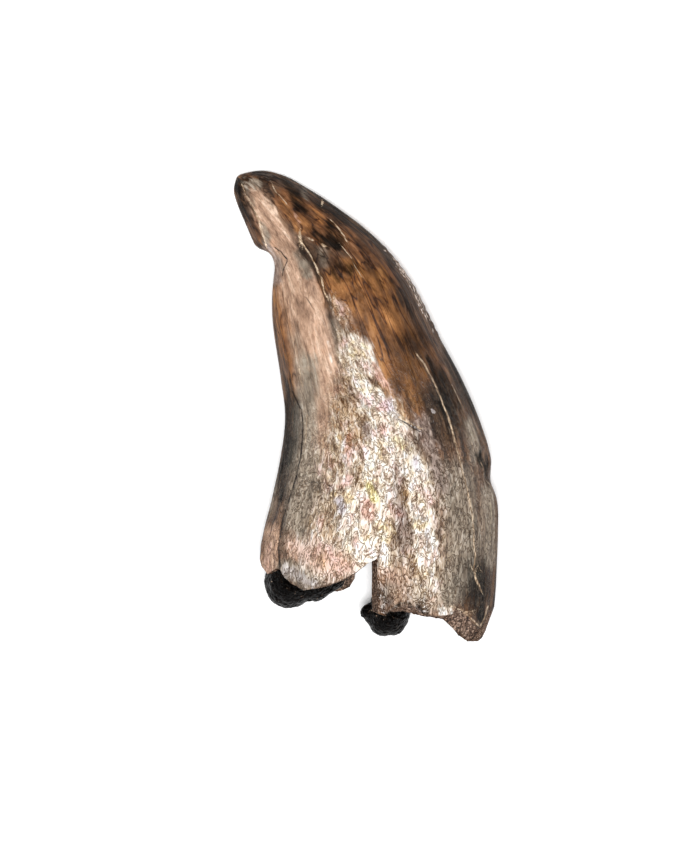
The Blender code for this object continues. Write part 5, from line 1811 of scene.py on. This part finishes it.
@dataclass
class Matrix:
    """The black matrix: a plug in the hollow and two lumps below the break. A lump's balls are
    given by their middles and half sizes."""

    shape: CrownShape = field(default_factory=CrownShape)
    finish: MatrixFinish = field(default_factory=MatrixFinish)
    left_heart: Point = (-3.30, -10.75, 3.5)
    left: tuple[tuple[Point, Point], ...] = (
        ((-4.66, -11.18, 3.60), (1.52, 1.60, 2.00)),
        ((-3.37, -10.95, 3.50), (1.70, 1.45, 1.75)),
        ((-5.05, -10.20, 4.20), (0.75, 0.70, 1.20)),
        ((-2.27, -10.62, 3.35), (1.20, 1.12, 1.45)),
        ((-2.87, -9.75, 3.60), (1.80, 1.50, 1.60)),
    )
    right_heart: Point = (2.10, -12.20, 3.6)
    right: tuple[tuple[Point, Point], ...] = (
        ((3.73, -10.45, 3.60), (2.60, 2.30, 2.10)),
        ((1.62, -12.85, 3.60), (1.26, 1.68, 1.60)),
        ((1.15, -13.45, 3.50), (0.80, 1.02, 1.20)),
        ((0.72, -13.05, 3.50), (0.92, 0.62, 0.60)),
    )
    # The power by which balls that meet are joined: the higher, the sharper the groove.
    joining: int = 14
    lump_rows: int = 110
    lump_columns: int = 180
    # The angle between a lump's poles and its first and last rows.
    pole_gap: float = 0.02
    clods: float = 0.20
    clods_grain: float = 1.1
    grit: float = 0.09
    grit_grain: float = 4.5
    plug_top: float = 0.33
    plug_bottom: float = 0.18
    plug_foot: Point = (0.90, -9.40, 3.6)
    # How much of the wall the plug leaves round itself.
    plug_in_wall: float = 0.8
    plug_start: float = 0.03
    plug_rows: int = 30
    foot_rows: int = 12
    plug_columns: int = 160
    foot_height: float = 0.12
    foot_grain: float = 1.5

    def lump(
        self, name: str, heart: Point, balls: tuple[tuple[Point, Point], ...],
        seeds: tuple[Seed, Seed],
    ) -> bpy.types.Object:
        """One lump: in each direction from its heart, the furthest reach into its ellipsoids,
        softly the largest of them (the nth root of the sum of nth powers), plus noise.

        Args:
            name: The object's name.
            heart: The point inside all of it.
            balls: The ellipsoids' centres and half sizes.
            seeds: Pick the noise of the clods and of the grit.

        Returns:
            The lump's object.
        """
        polar = np.linspace(self.pole_gap, math.pi - self.pole_gap, self.lump_rows)[:, None]
        around = np.linspace(0, 2 * math.pi, self.lump_columns, endpoint=False)[None]
        way = np.stack([np.sin(polar) * np.cos(around), np.sin(polar) * np.sin(around),
                        np.cos(polar) + 0 * around], axis=-1)
        total = np.zeros(way.shape[:-1])
        for centre, half in balls:
            start = (np.array(heart) - np.array(centre)) / np.array(half)
            step = way / np.array(half)
            a = np.sum(step**2, axis=-1)
            b = np.sum(step * start, axis=-1)
            inside = b**2 - a * (np.sum(start**2) - 1)
            reach = (-b + np.sqrt(np.maximum(inside, 0.0))) / a
            total += np.where(inside > 0, np.maximum(reach, 0.0), 0.0) ** self.joining
        reach = total ** (1 / self.joining)
        spot = np.array(heart) + way * reach[..., None]
        rough = self.clods * layered_noise(spot * self.clods_grain, seeds[0], 3)
        rough += self.grit * layered_noise(spot * self.grit_grain, seeds[1], 2)
        spot = np.array(heart) + way * (reach + rough)[..., None]
        first, last = spot[0].mean(axis=0), spot[-1].mean(axis=0)
        return MeshMaker.closed_grid(name, spot, first, last)

    def plug(self) -> bpy.types.Object:
        """The plug: sections of the crown set in by most of the wall, closed as a quarter of an
        ellipse at the top and ended by an uneven foot.

        Returns:
            The plug's object.
        """
        turn = np.linspace(2 * math.pi, 0, self.plug_columns, endpoint=False)[None]
        share = np.linspace(self.plug_start, 1.0, self.plug_rows)[:, None]
        place = self.plug_top + (self.plug_bottom - self.plug_top) * share + 0 * turn
        close = np.sqrt(1 - (1 - share) ** 2) + 0 * turn
        inset = np.full_like(place, self.shape.wall * self.plug_in_wall)
        spot = self.shape.surface(place, turn + 0 * place, inset, close, 0 * place)
        foot = np.array(self.plug_foot)
        pull = np.linspace(0, 1, self.foot_rows + 2)[1:-1, None, None]
        disc = spot[-1][None] + (foot - spot[-1])[None] * pull
        disc[..., 1] += self.foot_height * layered_noise(disc * self.foot_grain, Seed.PLUG_FOOT)
        return MeshMaker.closed_grid(
            "matrix_plug", np.concatenate([spot, disc]), spot[0].mean(axis=0), foot)

    def build(self) -> list[bpy.types.Object]:
        """Builds the plug and the lumps and puts their finish on.

        Returns:
            The finished objects.
        """
        pieces = [
            self.plug(),
            self.lump("matrix_lump_distal", self.left_heart, self.left,
                      (Seed.DISTAL_CLODS, Seed.DISTAL_GRIT)),
            self.lump("matrix_lump_notch", self.right_heart, self.right,
                      (Seed.NOTCH_CLODS, Seed.NOTCH_GRIT)),
        ]
        material = self.finish.material()
        for piece in pieces:
            piece.data.materials.append(material)
            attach(piece, "root")
            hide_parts("pulp_matrix")
        return pieces


@dataclass
class Studio:
    """The floor, the soft lights and the camera that looks straight down."""

    floor_size: float = 3.0
    finish: FloorFinish = field(default_factory=FloorFinish)
    camera_middle: tuple[float, float] = (-0.87, -1.28)
    camera_height: float = 150.0
    lens: float = 100.0
    sensor: float = 36.0
    nearest: float = 0.005
    # name: place in mm, size in mm, watts.
    lamps: tuple[tuple[str, Point, float, float], ...] = (
        ("key_softbox", (-3.0, -22.0, 240.0), 60.0, 0.64),
        ("right_softbox", (160.0, 60.0, 200.0), 150.0, 0.05),
        ("left_softbox", (-160.0, 80.0, 200.0), 150.0, 0.05),
    )
    sky: float = 0.10

    def floor(self) -> bpy.types.Object:
        """A flat square floor at z = 0.

        Returns:
            The floor's object.
        """
        half = self.floor_size / 2
        corners = np.array([(-1, -1, 0), (1, -1, 0), (1, 1, 0), (-1, 1, 0)], float) * half
        mesh = bpy.data.meshes.new("floor")
        mesh.from_pydata(corners, [], [(0, 1, 2, 3)])
        made = MeshMaker.place("floor", mesh)
        mesh.materials.append(self.finish.material())
        return made

    def light(self) -> None:
        """Sets the soft boxes, each aimed at the tooth, and an even pale sky, with colours shown
        as they are."""
        for name, place, size, watts in self.lamps:
            lamp = bpy.data.lights.new(name, "AREA")
            lamp.shape = "DISK"
            lamp.size = size * MM
            lamp.energy = watts
            made = bpy.data.objects.new(name, lamp)
            made.location = [v * MM for v in place]
            aim = -made.location.normalized()
            made.rotation_euler = aim.to_track_quat("-Z", "Y").to_euler()
            bpy.context.scene.collection.objects.link(made)
        world = bpy.data.worlds.new("pale_sky")
        world.use_nodes = True
        back = world.node_tree.nodes["Background"]
        back.inputs["Color"].default_value = WHITE
        back.inputs["Strength"].default_value = self.sky
        bpy.context.scene.world = world
        bpy.context.scene.view_settings.view_transform = "Standard"

    def camera(self) -> bpy.types.Object:
        """A camera straight above the tooth, with +Y up in its view.

        Returns:
            The camera's object.
        """
        lens = bpy.data.cameras.new("camera")
        lens.lens = self.lens
        lens.sensor_width = self.sensor
        lens.clip_start = self.nearest
        made = bpy.data.objects.new("camera", lens)
        made.location = [v * MM for v in (*self.camera_middle, self.camera_height)]
        bpy.context.scene.collection.objects.link(made)
        bpy.context.scene.camera = made
        return made


def main() -> None:
    """Builds the studio, the crown and the matrix, and reports each piece."""
    logging.basicConfig(level=logging.INFO, format="%(message)s")
    studio = Studio()
    studio.camera()
    studio.light()
    pieces = [studio.floor(), Crown().build(), *Matrix().build()]
    for piece in pieces:
        piece.data.calc_loop_triangles()
        LOG.info("%s: %d triangles", piece.name, len(piece.data.loop_triangles))


if __name__ == "__main__":
    main()
